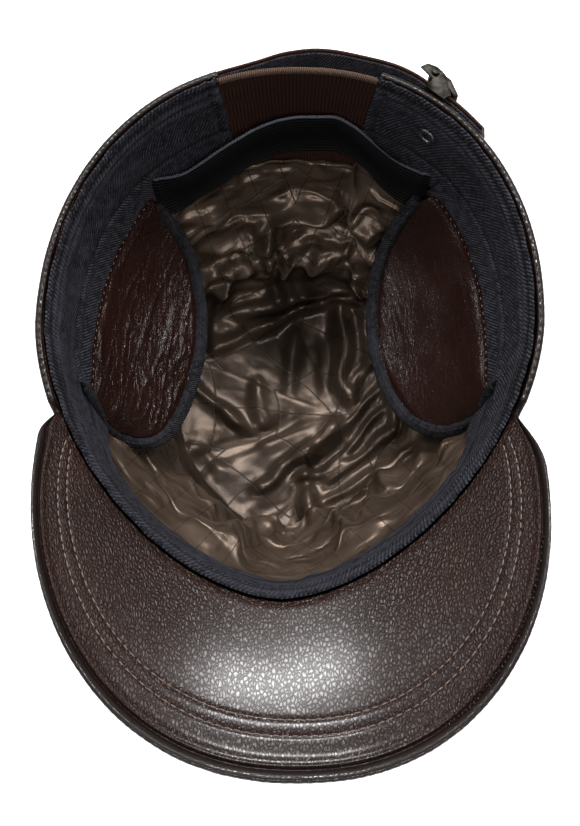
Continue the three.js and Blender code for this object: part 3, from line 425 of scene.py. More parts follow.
def add_modifier(piece, kind, **settings):
    select_only(piece)
    made = piece.modifiers.new(kind.title(), kind)
    for name, value in settings.items():
        setattr(made, name, value)
    bpy.ops.object.modifier_apply(modifier=made.name)


def points_of(piece):
    points = np.empty(len(piece.data.vertices) * 3, np.float32)
    piece.data.vertices.foreach_get("co", points)
    return points.reshape(-1, 3).astype(float)


def set_points(piece, points):
    """Puts a piece's points at places in millimetres about the rim's centre."""
    placed = ((points + RIM_CENTRE) * MM).astype(np.float32)
    piece.data.vertices.foreach_set("co", placed.ravel())
    piece.data.update()


def corners_of(piece):
    """The point at each corner of each face."""
    corners = np.empty(len(piece.data.loops), np.int32)
    piece.data.loops.foreach_get("vertex_index", corners)
    return corners


def set_uv(piece, along, across):
    """Sets the UV map from values at the faces' corners."""
    pairs = np.stack((along, across), -1).astype(np.float32)
    piece.data.uv_layers.active.data.foreach_set("uv", pairs.ravel())


def new_grid(name, columns, rows):
    """A flat square grid, and its points' shares across and up it."""
    select_only()
    bpy.ops.mesh.primitive_grid_add(x_subdivisions=columns, y_subdivisions=rows, size=1, location=(0, 0, 0))
    piece = bpy.context.active_object
    piece.name = piece.data.name = name
    flat = points_of(piece)
    return piece, np.rint((flat[:, 0] + 0.5) * columns) / columns, np.rint((flat[:, 1] + 0.5) * rows) / rows


def lay_grid(piece, u, v, points):
    """Lays a grid on a surface, with a UV map in millimetres along and across it."""
    columns, rows = round(1 / np.diff(np.unique(u)).min()), round(1 / np.diff(np.unique(v)).min())
    column, row = np.rint(u * columns).astype(int), np.rint(v * rows).astype(int)
    net = np.zeros((rows + 1, columns + 1, 3))
    net[row, column] = points
    along = np.concatenate(([0], np.cumsum(np.linalg.norm(np.diff(net, axis=1), axis=2).mean(0))))
    across = np.concatenate(([0], np.cumsum(np.linalg.norm(np.diff(net, axis=0), axis=2).mean(1))))
    set_points(piece, points)
    corners = corners_of(piece)
    set_uv(piece, along[column][corners], across[row][corners])


def face_toward(piece, target, toward=True):
    """Turns an open sheet's faces toward a point about the rim's centre, or away from it."""
    aim = Vector((np.array(target) + RIM_CENTRE) * MM)
    total = sum(face.area * face.normal.dot(aim - face.center) for face in piece.data.polygons)
    if (total > 0) != toward:
        edit(piece, bpy.ops.mesh.flip_normals)


def remove_faces(piece, doomed):
    select_only(piece)
    bpy.ops.object.mode_set(mode="EDIT")
    bpy.ops.mesh.select_mode(type="FACE")
    bpy.ops.mesh.select_all(action="DESELECT")
    bpy.ops.object.mode_set(mode="OBJECT")
    piece.data.polygons.foreach_set("select", doomed)
    bpy.ops.object.mode_set(mode="EDIT")
    bpy.ops.mesh.delete(type="FACE")
    bpy.ops.mesh.select_mode(type="VERT")
    bpy.ops.object.mode_set(mode="OBJECT")


def thicken(piece, thickness):
    """Gives an open sheet its thickness behind the face that shows."""
    add_modifier(piece, "SOLIDIFY", thickness=thickness * MM, offset=-1, use_even_offset=False)


def smooth(piece, angle=55):
    select_only(piece)
    bpy.ops.object.shade_smooth_by_angle(angle=math.radians(angle))


def lay_sheet(piece, u, v, points, toward, thickness):
    """Lays a grid as an open sheet that shows its face to a point, and gives it its thickness."""
    lay_grid(piece, u, v, points)
    face_toward(piece, toward)
    thicken(piece, thickness)
    smooth(piece)


def dress(piece, finish, slot, *nodes, body="cap"):
    piece.data.materials.clear()
    piece.data.materials.append(finish)
    if nodes:
        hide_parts(*nodes)
    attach(piece, body)
    return piece


def soft_ring(corners, rounds=2):
    """A closed ring with its corners cut round."""
    ring = np.array(corners, float)
    for _ in range(rounds):
        after = np.roll(ring, -1, 0)
        ring = np.stack((ring * 0.75 + after * 0.25, ring * 0.25 + after * 0.75), 1).reshape(-1, ring.shape[1])
    return ring


def loft(name, columns, ring, point_at):
    """A bar whose section is a ring, where point_at turns a share along it and a ring's row into points."""
    rows = len(ring)
    piece, u, v = new_grid(name, columns, rows)
    lay_grid(piece, u, v, point_at(u, ring[np.rint(v * rows).astype(int) % rows]))
    edit(piece, merge_points, close_ends, face_outward)
    smooth(piece)
    return piece


def smooth_line(line, width):
    """A line of points with its corners rounded by a moving mean."""
    padded = np.concatenate((np.repeat(line[:1], width // 2, 0), line, np.repeat(line[-1:], width // 2, 0)))
    kernel = np.ones(width) / width
    return np.stack([np.convolve(padded[:, k], kernel, "valid") for k in range(3)], -1)


def reach_of(line):
    """The distance along a line of points at each of them."""
    return np.concatenate(([0], np.cumsum(np.linalg.norm(np.diff(line, axis=0), axis=1))))


def sample(values, reach, at):
    return np.stack([np.interp(at, reach, values[:, k]) for k in range(3)], -1)


def sweep(name, columns, ring, line, normal):
    """A bar along a line, whose ring's rows are side and height in millimetres, a little uneven as cloth is."""
    reach = reach_of(line)

    def point_at(u, section):
        at = u * reach[-1]
        centre, up = sample(line, reach, at), unit(sample(normal, reach, at))
        ahead = sample(line, reach, np.minimum(at + 1, reach[-1]))
        side = unit(np.cross(unit(ahead - sample(line, reach, np.maximum(at - 1, 0))), up))
        ripple = (0.12 * lumps(centre, 6, 61) + 0.05 * np.sin(at * 2.2))[:, None]
        return centre + side * (section[:, :1] * (1 + ripple)) + up * (section[:, 1:] * (1 - ripple))

    return loft(name, columns, ring, point_at)


def one_stitch(length, radius):
    """One stitch's points and faces, modelled as a small slug."""
    select_only()
    bpy.ops.mesh.primitive_uv_sphere_add(segments=6, ring_count=5, radius=1, location=(0, 0, 0))
    slug = bpy.context.active_object
    edit(
        slug,
        lambda: bpy.ops.transform.rotate(value=math.pi / 2, orient_axis="Y", center_override=(0, 0, 0)),
        lambda: bpy.ops.transform.resize(value=(length / 2, radius, radius)),
    )
    points, faces = points_of(slug), [tuple(face.vertices) for face in slug.data.polygons]
    bpy.data.objects.remove(slug)
    return points, faces


def sew(name, rows, finish, slot, pitch, length=2.5, radius=0.28):
    """Copies one stitch along rows, each a line of points and the directions that stand out from it."""
    slug, slug_faces = one_stitch(length, radius)
    points, faces = [], []
    for line, outward in rows:
        reach = reach_of(line)
        count = int(reach[-1] / pitch)
        at = (np.arange(count) + 0.5) * reach[-1] / max(count, 1)
        centre, out = sample(line, reach, at), sample(outward, reach, at)
        run = unit(sample(line, reach, at + 0.5) - sample(line, reach, at - 0.5))
        side = unit(np.cross(out, run))
        out = np.cross(run, side)
        for k in range(count):
            start = len(points) * len(slug)
            turned = slug[:, :1] * run[k] + slug[:, 1:2] * side[k] + slug[:, 2:] * out[k]
            points.append(centre[k] + turned)
            faces.extend(tuple(start + corner for corner in face) for face in slug_faces)
    mesh = bpy.data.meshes.new(name)
    placed = (np.concatenate(points) + RIM_CENTRE) * MM
    mesh.from_pydata(placed.tolist(), [], faces)
    piece = bpy.data.objects.new(name, mesh)
    bpy.context.scene.collection.objects.link(piece)
    edit(piece, face_outward)
    smooth(piece, 80)
    return dress(piece, finish, slot)


# Materials
class Channel:
    """A number in a material, so that shader maths reads as arithmetic."""

    def __init__(self, finish, socket):
        self.finish, self.socket = finish, socket

    def math(self, operation, *others):
        return self.finish.node("Math", {"operation": operation}, dict(enumerate((self, *others))))

    def __add__(self, other):
        return self.math("ADD", other)

    def __sub__(self, other):
        return self.math("SUBTRACT", other)

    def __rsub__(self, other):
        return self.math("MULTIPLY_ADD", -1.0, other)

    def __mul__(self, other):
        return self.math("MULTIPLY", other)

    __radd__, __rmul__ = __add__, __mul__

    def sine(self):
        return self.math("SINE")

    def wave(self, pitch):
        """Ribs from 0 to 1 that stand a pitch apart."""
        return (self * (2 * math.pi / pitch)).sine() * 0.5 + 0.5

    def size(self):
        return self.math("ABSOLUTE")

    def rise(self, low, high):
        """0 below low, 1 above high, and smooth between them."""
        settings = {"interpolation_type": "SMOOTHSTEP"}
        return self.finish.node("MapRange", settings, {0: self, 1: low, 2: high, 3: 0.0, 4: 1.0})


class Finish:
    """A material under construction."""

    def __init__(self, name, **constants):
        self.material = bpy.data.materials.new(name)
        self.material.use_nodes = True
        self.tree = self.material.node_tree
        self.shader = self.tree.nodes["Principled BSDF"]
        for socket, value in constants.items():
            self.shader.inputs[socket.replace("_", " ")].default_value = value

    def node(self, kind, settings=None, values=None, output=0):
        made = self.tree.nodes.new("ShaderNode" + kind)
        for name, value in (settings or {}).items():
            setattr(made, name, value)
        for name, value in (values or {}).items():
            if isinstance(value, Channel):
                self.tree.links.new(value.socket, made.inputs[name])
            else:
                made.inputs[name].default_value = value
        return Channel(self, made.outputs[output])

    def coordinates(self, kind="Object", stretch=None):
        found = self.node("TexCoord", output=kind)
        if stretch is None:
            return found
        return self.node("VectorMath", {"operation": "MULTIPLY"}, {0: found, 1: stretch})

    def uv_pair(self):
        split = self.node("SeparateXYZ", values={0: self.coordinates("UV")})
        return split, Channel(self, split.socket.node.outputs[1])

    def noise(self, scale, detail=2.0, vector=None, roughness=0.5, distortion=0.0):
        values = {"Vector": vector or self.coordinates(), "Scale": scale, "Detail": detail}
        return self.node("TexNoise", None, {**values, "Roughness": roughness, "Distortion": distortion})

    def cells(self, scale, vector):
        """Distance from the edges of cells, in shares of a cell."""
        return self.node("TexVoronoi", {"feature": "DISTANCE_TO_EDGE"}, {"Vector": vector, "Scale": scale})

    def warped(self, amount, scale, stretch=None):
        """Object coordinates pushed about by noise, in metres."""
        place = self.coordinates(stretch=stretch)
        push = self.node("TexNoise", None, {"Vector": place, "Scale": scale, "Detail": 2.0}, output=1)
        scaled = self.node("VectorMath", {"operation": "SCALE"}, {0: push, "Scale": amount})
        return self.node("VectorMath", {"operation": "ADD"}, {0: place, 1: scaled})

    def blend(self, factor, under, over):
        return self.node("Mix", {"data_type": "RGBA"}, {0: factor, 6: under, 7: over}, output=2)

    def bump(self, height, distance):
        return self.node("Bump", None, {"Strength": 1.0, "Distance": distance, "Height": height})

    def done(self, **sockets):
        for name, value in sockets.items():
            self.tree.links.new(value.socket, self.shader.inputs[name.replace("_", " ")])
        return self.material


def shade(colour, amount):
    return (*(min(1.0, part * amount) for part in colour[:3]), 1.0)


def leather(
    name, colour, grain, depth, gloss, specular=0.5, coat=0.0, coat_gloss=0.3, stretch=None, creases=0.0, rubbed=None
):
    """Grained leather with grooves painted darker as painted shade, mottling, creases, and a finish that lies on the
    pebbles' tops.

    Rubbed leather keeps its finish near the middle and loses it between two distances across the cap.
    """
    finish = Finish(name, Specular_IOR_Level=specular, Coat_Roughness=coat_gloss)
    place = finish.warped(0.0016, 330.0, stretch)
    edges = finish.cells(grain, place)
    pebbles, dome = edges.rise(0.0, 0.12), edges.rise(0.0, 0.42)
    fine = finish.noise(2400.0, 2.0, place, 0.55)
    mottling = finish.noise(38.0, 4.0, None, 0.6)
    height = dome * 0.7 + pebbles * 0.3 + fine * 0.15
    tone = finish.blend(mottling.rise(0.3, 0.75), shade(colour, 0.78), shade(colour, 1.2))
    if creases:
        lines = finish.noise(170.0, 4.0, finish.coordinates(stretch=(1.0, 0.28, 0.6)), 0.6, 0.5)
        height = height * 0.35 + (lines - 0.5).size().rise(0.0, 0.07) * creases
    if rubbed:
        away = finish.node("SeparateXYZ", values={0: finish.coordinates()}).size().rise(*rubbed)
        # Painted shade: the grooves between pebbles are darker.
        tone = finish.blend(pebbles, shade(colour, 0.3), tone)
        rough = pebbles * -0.1 + (gloss + 0.1) + mottling * 0.05 + away * 0.14
        tops = (dome * 0.8 + 0.3) * (away * -1.0 + 1) * coat
    else:
        # Painted shade: the grooves between pebbles are darker.
        tone = finish.blend(pebbles, shade(colour, 0.35), tone)
        rough = pebbles * -0.3 + (gloss + 0.28) + mottling * 0.05
        tops = dome.rise(0.05, 0.8) * (mottling * 0.3 + 0.85) * coat
    return finish.done(Base_Color=tone, Roughness=rough, Coat_Weight=tops, Normal=finish.bump(height, depth))


def twill(name, colour, pitch=1.25, depth=0.0005, sheen=0.18, grooves=()):
    """Black cotton twill with steep diagonal ribs and fluff; rib tops and puffed rolls are painted lighter as painted
    highlight, and the sewn grooves darker as painted shade.
    """
    tint = shade(colour, 9.0)
    finish = Finish(name, Sheen_Weight=sheen, Sheen_Roughness=0.45, Sheen_Tint=tint, Specular_IOR_Level=0.25)
    along, across = finish.uv_pair()
    wobble = finish.noise(420.0, 2.0) * 1.8
    ribs = ((along * 0.82 + across * 0.57) * (2 * math.pi / pitch) + wobble).sine() * 0.5 + 0.5
    fluff = finish.noise(1500.0, 4.0, None, 0.75)
    patches = finish.noise(85.0, 4.0, None, 0.65)
    height = ribs * 0.75 + fluff * 0.6
    streaks = finish.noise(430.0, 3.0, None, 0.75)
    # Painted highlight and painted shade: rib tops lighter and the hollows between them darker, broken by uneven
    # streaks.
    tone = finish.blend(height.rise(0.45, 1.05) * streaks.rise(0.36, 0.62), shade(colour, 0.1), shade(colour, 4.4))
    tone = finish.blend(patches.rise(0.45, 0.75) * 0.45, tone, shade(colour, 3.2))
    tone = finish.blend(fluff.rise(0.5, 0.8) * 0.5, tone, shade(colour, 4.5))
    for row in grooves:
        # Painted shade darkens each sewn groove, and a painted highlight lightens the middle of the puffed roll
        # beside it.
        near = 1 - (across - row).size().rise(0.3, 2.4)
        tone = finish.blend(near * 0.92, tone, shade(colour, 0.1))
        puff = 1 - (across - (row + 3.1)).size().rise(0.0, 2.2)
        tone = finish.blend(puff * 0.4, tone, shade(colour, 3.2))
    rough = fluff * 0.15 + 0.75
    return finish.done(Base_Color=tone, Roughness=rough, Normal=finish.bump(height, depth))


def satin(name, colour, pitch):
    """Bronze satin with fine threads and rows of quilting; the walls are painted lighter as painted light, and the
    quilted grooves darker as painted shade between the stitches.
    """
    finish = Finish(name, Metallic=0.55, Specular_IOR_Level=0.4)
    across, along = finish.uv_pair()
    threads = across.wave(0.22)
    cloudy = finish.noise(45.0, 3.0, None, 0.6)
    lines = [((way * (1 / pitch)).math("FRACT") - 0.5).size() for way in (across, along)]
    near = lines[0].math("MAXIMUM", lines[1])
    row = near.rise(0.5 - 0.4 / pitch, 0.5 - 0.15 / pitch)
    dashes = ((across + along) * (2 * math.pi / 2.6)).sine().rise(-0.4, 0.2)
    creases = finish.noise(120.0, 3.0, finish.warped(0.004, 60.0), 0.5, 1.0)
    level = finish.node("SeparateXYZ", values={0: finish.coordinates()}, output=2)
    ridges = finish.noise(1.0, 1.0, finish.coordinates(stretch=(52.0, 52.0, 105.0)), 0.4, 0.7)
    walls = level.rise(0.006, 0.022)
    height = row * -0.12 + threads * 0.012 + creases * 0.15 + ridges * (walls * 13.0 + 1.0)
    # Random cloudy tone, plus painted light that makes the walls lighter than the bottom.
    cloud_and_wall_painted_light = cloudy.rise(0.35, 0.7) * 0.45 + walls * 0.45
    tone = finish.blend(cloud_and_wall_painted_light, shade(colour, 0.5), shade(colour, 1.65))
    # Darker along the quilting rows: thread at the stitch dashes, and painted shade in the groove between them.
    tone = finish.blend(row * (dashes * 0.35 + 0.45), tone, shade(colour, 0.25))
    rough = cloudy * 0.08 + 0.31 + row * 0.2
    return finish.done(Base_Color=tone, Roughness=rough, Normal=finish.bump(height, 0.0006))


def knit(name, colour):
    """Ribbed knit: columns of stitches that lean into each other, with painted shade in the hollows and painted
    highlight on the tops.
    """
    tint = shade(colour, 5.0)
    finish = Finish(name, Sheen_Weight=0.35, Sheen_Roughness=0.5, Sheen_Tint=tint, Specular_IOR_Level=0.25)
    along, across = finish.uv_pair()
    ribs = along.wave(1.45)
    loops = (across + ribs * 0.35).wave(0.95)
    fluff = finish.noise(4200.0, 3.0, None, 0.7)
    height = ribs * 0.7 + loops * 0.4 + fluff * 0.3
    # Painted shade and painted highlight: hollows between ribs and loops darker, their tops lighter.
    tone = finish.blend(height.rise(0.35, 1.1), shade(colour, 0.35), shade(colour, 1.35))
    rough = fluff * 0.1 + 0.85
    return finish.done(Base_Color=tone, Roughness=rough, Normal=finish.bump(height, 0.0003))


def elastic(name, colour):
    """Black elastic: long ribs over fine rubber threads, with a pale painted highlight along its upper edge where it
    folds over.
    """
    finish = Finish(name, Specular_IOR_Level=0.15)
    along, across = finish.uv_pair()
    weave, ribs = along.wave(0.7), across.wave(1.65)
    fluff = finish.noise(4800.0, 2.0, None, 0.7)
    height = ribs * 0.9 + weave * (1 - ribs) * 0.3 + fluff * 0.15
    # Painted highlight and painted shade: rib tops lighter, the hollows between them darker.
    tone = finish.blend(height.rise(0.3, 1.0), shade(colour, 0.3), shade(colour, 2.6))
    # Painted highlight: a pale line along the upper edge where the elastic folds over.
    tone = finish.blend(1 - across.rise(0.05, 0.5), tone, shade(colour, 30.0))
    return finish.done(Base_Color=tone, Roughness=fluff * 0.15 + 0.62, Normal=finish.bump(height, 0.0003))


def thread(name, colour, gloss=0.5):
    finish = Finish(name, Sheen_Weight=0.2)
    plies = finish.noise(2600.0, 2.0, finish.coordinates(stretch=(1.0, 1.0, 0.4)), 0.6)
    tone = finish.blend(plies.rise(0.35, 0.65), shade(colour, 0.7), shade(colour, 1.25))
    return finish.done(Base_Color=tone, Roughness=plies * 0.2 + gloss, Normal=finish.bump(plies, 0.0002))


def worn_metal(name, colour, gloss=0.32):
    finish = Finish(name, Metallic=1.0)
    stains = finish.noise(420.0, 5.0, None, 0.65)
    scratches = finish.noise(1500.0, 3.0, finish.coordinates(stretch=(1.0, 0.12, 1.0)), 0.6)
    tone = finish.blend(stains.rise(0.35, 0.7), shade(colour, 0.45), shade(colour, 1.25))
    rough = stains * 0.25 + gloss
    height = scratches * 0.4 + stains * 0.6
    return finish.done(Base_Color=tone, Roughness=rough, Normal=finish.bump(height, 0.00008))


def plain_floor(name):
    white = (1.0, 1.0, 1.0, 1.0)
    finish = Finish(name, Specular_IOR_Level=0.2, Emission_Color=white, Emission_Strength=FLOOR_GLOW)
    dust = finish.noise(12.0, 3.0)
    tone = finish.blend(dust, shade(white, 0.86), shade(white, 0.9))
    return finish.done(Base_Color=tone, Roughness=dust * 0.1 + 0.6)


def colour_property(name, description, default):
    return bpy.props.FloatVectorProperty(
        name=name, description=description, default=default, subtype="COLOR", size=3, min=0.0, max=1.0
    )


def length_property(name, description, default):
    return bpy.props.FloatProperty(name=name, description=description, default=default * MM, unit="LENGTH")


class CapSizes(bpy.types.PropertyGroup):
    stitch_pitch: length_property("Stitch pitch", "Distance between stitches on leather", 3.2)
    seam_pinch: length_property("Seam pinch", "How deep the crown's seams draw in", 0.9)
    outer_row: length_property("Outer peak row", "Outer row of stitches from the peak's edge", 15.5)
    inner_row: length_property("Inner peak row", "Inner row of stitches from the peak's edge", 21.0)
    fold_height: length_property("Lining folds", "Height of the lining's main folds", 4.2)
    quilt_pitch: length_property("Quilting pitch", "Distance between rows of quilting", 17.0)
    flap_wrinkle: length_property("Flap wrinkles", "Depth of the wrinkles in the ear flaps", 0.5)


class CapColours(bpy.types.PropertyGroup):
    crown: colour_property("Crown leather", "Leather of the crown, peak and strap", (0.013, 0.0065, 0.005))
    under: colour_property("Peak lining leather", "Leather under the peak", (0.021, 0.0068, 0.0038))
    flap: colour_property("Flap leather", "Leather of the ear flaps", (0.019, 0.0055, 0.0035))
    twill: colour_property("Twill", "Sweatband, bindings and strips", (0.014, 0.014, 0.019))
    elastic: colour_property("Elastic", "Band between the flaps", (0.0035, 0.0037, 0.0045))
    satin: colour_property("Satin", "Quilted lining", (0.1, 0.07, 0.051))
    knit: colour_property("Knit", "Panel in the rear gap", (0.03, 0.0115, 0.007))
    thread: colour_property("Leather thread", "Stitches in the leather", (0.21, 0.145, 0.11))
    metal: colour_property("Clasp metal", "Clasp of the strap", (0.035, 0.032, 0.028))


def size_of(name):
    """One of the cap's sizes, in millimetres."""
    return getattr(bpy.context.scene.cap_sizes, name) / MM


def colours():
    return bpy.context.scene.cap_colours


FINISHES = {}


def finish_of(name, make, *settings, **named_settings):
    """Each finish is made once and shared by the pieces that wear it."""
    if name not in FINISHES:
        FINISHES[name] = make(name, *settings, **named_settings)
    return FINISHES[name]


def crown_leather():
    return finish_of(
        "crown_leather", leather, colours().crown, grain=780.0, depth=0.00005, gloss=0.32, specular=0.3,
        coat=0.7, coat_gloss=0.16,
    )


def panel_leather():
    colour = shade(colours().under, 1.5)
    return finish_of("panel_leather", leather, colour, grain=720.0, depth=0.00012, gloss=0.3, specular=0.14)


def band_twill():
    rows = [row + BAND_LIP for row in BAND_ROWS]
    return finish_of("band_twill", twill, colours().twill, grooves=rows)


def black_twill():
    return finish_of("black_twill", twill, shade(colours().twill, 0.9), pitch=1.0, depth=0.0003)


def binding_twill():
    return finish_of("binding_twill", twill, shade(colours().twill, 0.6), pitch=0.8, depth=0.0003, sheen=0.08)


def leather_thread():
    return finish_of("leather_thread", thread, colours().thread)


def black_thread():
    return finish_of("black_thread", thread, (0.006, 0.006, 0.007), 0.6)


class CAP_OT_camera(bpy.types.Operator):
    """Set the camera at the photograph's angle, above the open cap and toward its peak"""

    bl_idname = "cap.camera"
    bl_label = "Camera"

    def execute(self, context):
        tilt = math.radians(CAMERA_TILT_DEG)
        above = np.array((0.0, -CAMERA_DISTANCE * math.sin(tilt), CAMERA_DISTANCE * math.cos(tilt)))
        aim = np.array((0.0, CAMERA_AIM_Y, 0.0))
        data = bpy.data.cameras.new("camera")
        data.lens, data.sensor_width = CAMERA_LENS, SENSOR_WIDTH
        data.clip_start, data.clip_end = 0.01, 20.0
        camera = bpy.data.objects.new("camera", data)
        context.scene.collection.objects.link(camera)
        camera.location = Vector((above + RIM_CENTRE) * MM)
        camera.rotation_euler = Vector(aim - above).to_track_quat("-Z", "Y").to_euler()
        context.scene.camera = camera
        return {"FINISHED"}


class CAP_OT_crown(bpy.types.Operator):
    """Make the six leather panels of the crown, with drawn seams and the rear gap"""

    bl_idname = "cap.crown"
    bl_label = "Crown panels"

    def execute(self, context):
        for name, start in PANELS:
            self.panel(name, start)
        self.seam_stitches()
        return {"FINISHED"}

    def panel(self, name, start):
        columns, rows, gap_columns, gap_rows, flat_row = 44, 96, 22, 42, 84
        piece, u, v = new_grid(f"panel_leather_{name}", columns, rows)
        from_turn, to_turn = math.radians(start), math.radians(start + 60)
        v_gap, v_flat = gap_rows / rows, flat_row / rows
        azimuth = mix(from_turn, to_turn, u)
        is_rear = name.startswith("rear")
        from_gap = np.full(len(u), 99.0)
        if is_rear:
            sign = 1 if name.endswith("right") else -1
            share = 1 - u if sign > 0 else u
            seam, far = math.pi / 2, math.pi / 2 - sign * math.radians(60)
            down = np.clip(v / v_gap, 0, 1) * GAP_DEPTH
            foot = rear_azimuth(sign * gap_edge(down), down)
            edge = mix(foot, mix(seam, far, 0.5), smooth_step(v, v_gap, v_flat))
            azimuth = np.where(share < 0.5, mix(seam, edge, share * 2), mix(edge, far, share * 2 - 1))
            from_gap = np.abs(azimuth - edge) * 90 + np.maximum(v - v_gap, 0) * 90
        top = under_peak(azimuth) + 0.9
        depth = mix(top, GAP_DEPTH, np.clip(v / v_gap, 0, 1))
        gap_way = way_at_depth(azimuth, GAP_DEPTH)
        middle = mix(gap_way, FLAT_WAY, (v - v_gap) / (v_flat - v_gap))
        tip = mix(FLAT_WAY, 0.992, (v - v_flat) / (1 - v_flat))
        way = np.where(v <= v_gap, way_at_depth(azimuth, depth), np.where(v <= v_flat, middle, tip))
        plain = crown_face(azimuth, way)
        reach = np.hypot(plain[:, 0], plain[:, 1])
        near = np.minimum(np.abs(azimuth - from_turn), np.abs(azimuth - to_turn)) * reach
        inset = np.arcsin(np.minimum(0.03 / reach, 1))
        azimuth = azimuth + np.where(u == 0, inset, np.where(u == 1, -inset, 0))
        pinch = size_of("seam_pinch") * smooth_step(v, 0.0, 0.12)
        inward = pinch * bell(near, 1.3) + pinch * 0.3 * bell(near - 3.4, 0.8)
        inward = inward - 0.45 * bell(from_gap, 5.0) + 0.5 * bell(from_gap, 0.8) + 0.2 * bell(from_gap - 3.6, 0.8)
        loose = 1 - smooth_step(way, 0.62, FLAT_WAY)
        crushed = smooth_step(way, 0.4, 0.56) * loose
        inward = inward + loose * (0.4 * lumps(plain, 17, 3) + 0.16 * lumps(plain, 6, 4))
        inward = inward + crushed * 0.8 * lumps(plain, (22, 22, 6), 5)
        points = wall(azimuth, way, np.maximum(inward, -2.0), PANEL_PUFF)
        points[:, 2] = np.maximum(points[:, 2], -CROWN_DEPTH)
        lay_grid(piece, u, v, points)
        if is_rear:
            corners = corners_of(piece).reshape(-1, 4)
            doomed = (share[corners].mean(1) < 0.5) & (v[corners].mean(1) < v_gap)
            remove_faces(piece, doomed)
        face_toward(piece, (0, 0, -40), toward=False)
        thicken(piece, LEATHER)
        smooth(piece)
        dress(piece, panel_leather(), "crown_leather", f"crown_panel_{name}")

    def seam_stitches(self):
        rows = []
        for _, start in PANELS:
            turn = math.radians(start)
            top = float(way_at_depth(turn, GAP_DEPTH + 4 if start == 90 else HEM_HEIGHT + 2))
            way = np.linspace(top, 0.655, 90)
            plain = crown_face(np.full(90, turn), way)
            reach = np.hypot(plain[:, 0], plain[:, 1])
            for side in (-1, 1):
                azimuth = turn + side * 3.4 / reach
                outward = unit(wall(azimuth, way, 0, 0) - wall(azimuth, way, 3, 0))
                rows.append((wall(azimuth, way, 0.1, PANEL_PUFF), outward))
        sew("seam_stitches", rows, leather_thread(), "crown_leather", size_of("stitch_pitch"))


class CAP_OT_hem(bpy.types.Operator):
    """Make the rolled hem round the rim with its row of stitches"""

    bl_idname = "cap.hem"
    bl_label = "Rim hem"

    def execute(self, context):
        start = float(rear_azimuth(GAP_HALF_WIDTH, 0))
        end = float(rear_azimuth(-GAP_HALF_WIDTH, 0)) - 2 * math.pi - 0.012
        ring = soft_ring((
            (7.0, 0.1), (7.1, -0.75), (6.4, -1.35), (3.4, -1.5), (1.0, -1.5), (-0.2, -1.3), (-0.75, -0.3),
            (-0.7, 0.6), (-0.1, 1.3), (1.2, 1.3), (1.2, 0.3), (3.6, 0.15),
        ))

        def hem_point(u, section):
            azimuth = mix(start, end, u)
            arc = azimuth * rim_radius(azimuth)
            base = layer(azimuth, 3.0, 0.0)
            on_top = bell(section[:, 0] + 0.6, 1.2)
            pucker = 0.11 * np.cos(arc * 2 * math.pi / 3.2) * on_top + 0.14 * lumps(base, 9, 8)
            stitched = 0.25 * bell(section[:, 0] - 4.6, 0.7) * (section[:, 1] < -1)
            depth = section[:, 0] + under_peak(azimuth) + pucker
            return layer(azimuth, depth, section[:, 1] + stitched)

        hem = loft("rim_hem", 900, ring, hem_point)
        dress(hem, crown_leather(), "crown_leather")
        azimuth = np.linspace(start - 0.02, end + 0.02, 700)
        depth = 4.6 + under_peak(azimuth)
        line, inner = layer(azimuth, depth, -1.3), layer(azimuth, depth, 2.0)
        row = (line, unit(line - inner))
        sew("hem_stitches", [row], leather_thread(), "crown_leather", size_of("stitch_pitch"))
        return {"FINISHED"}


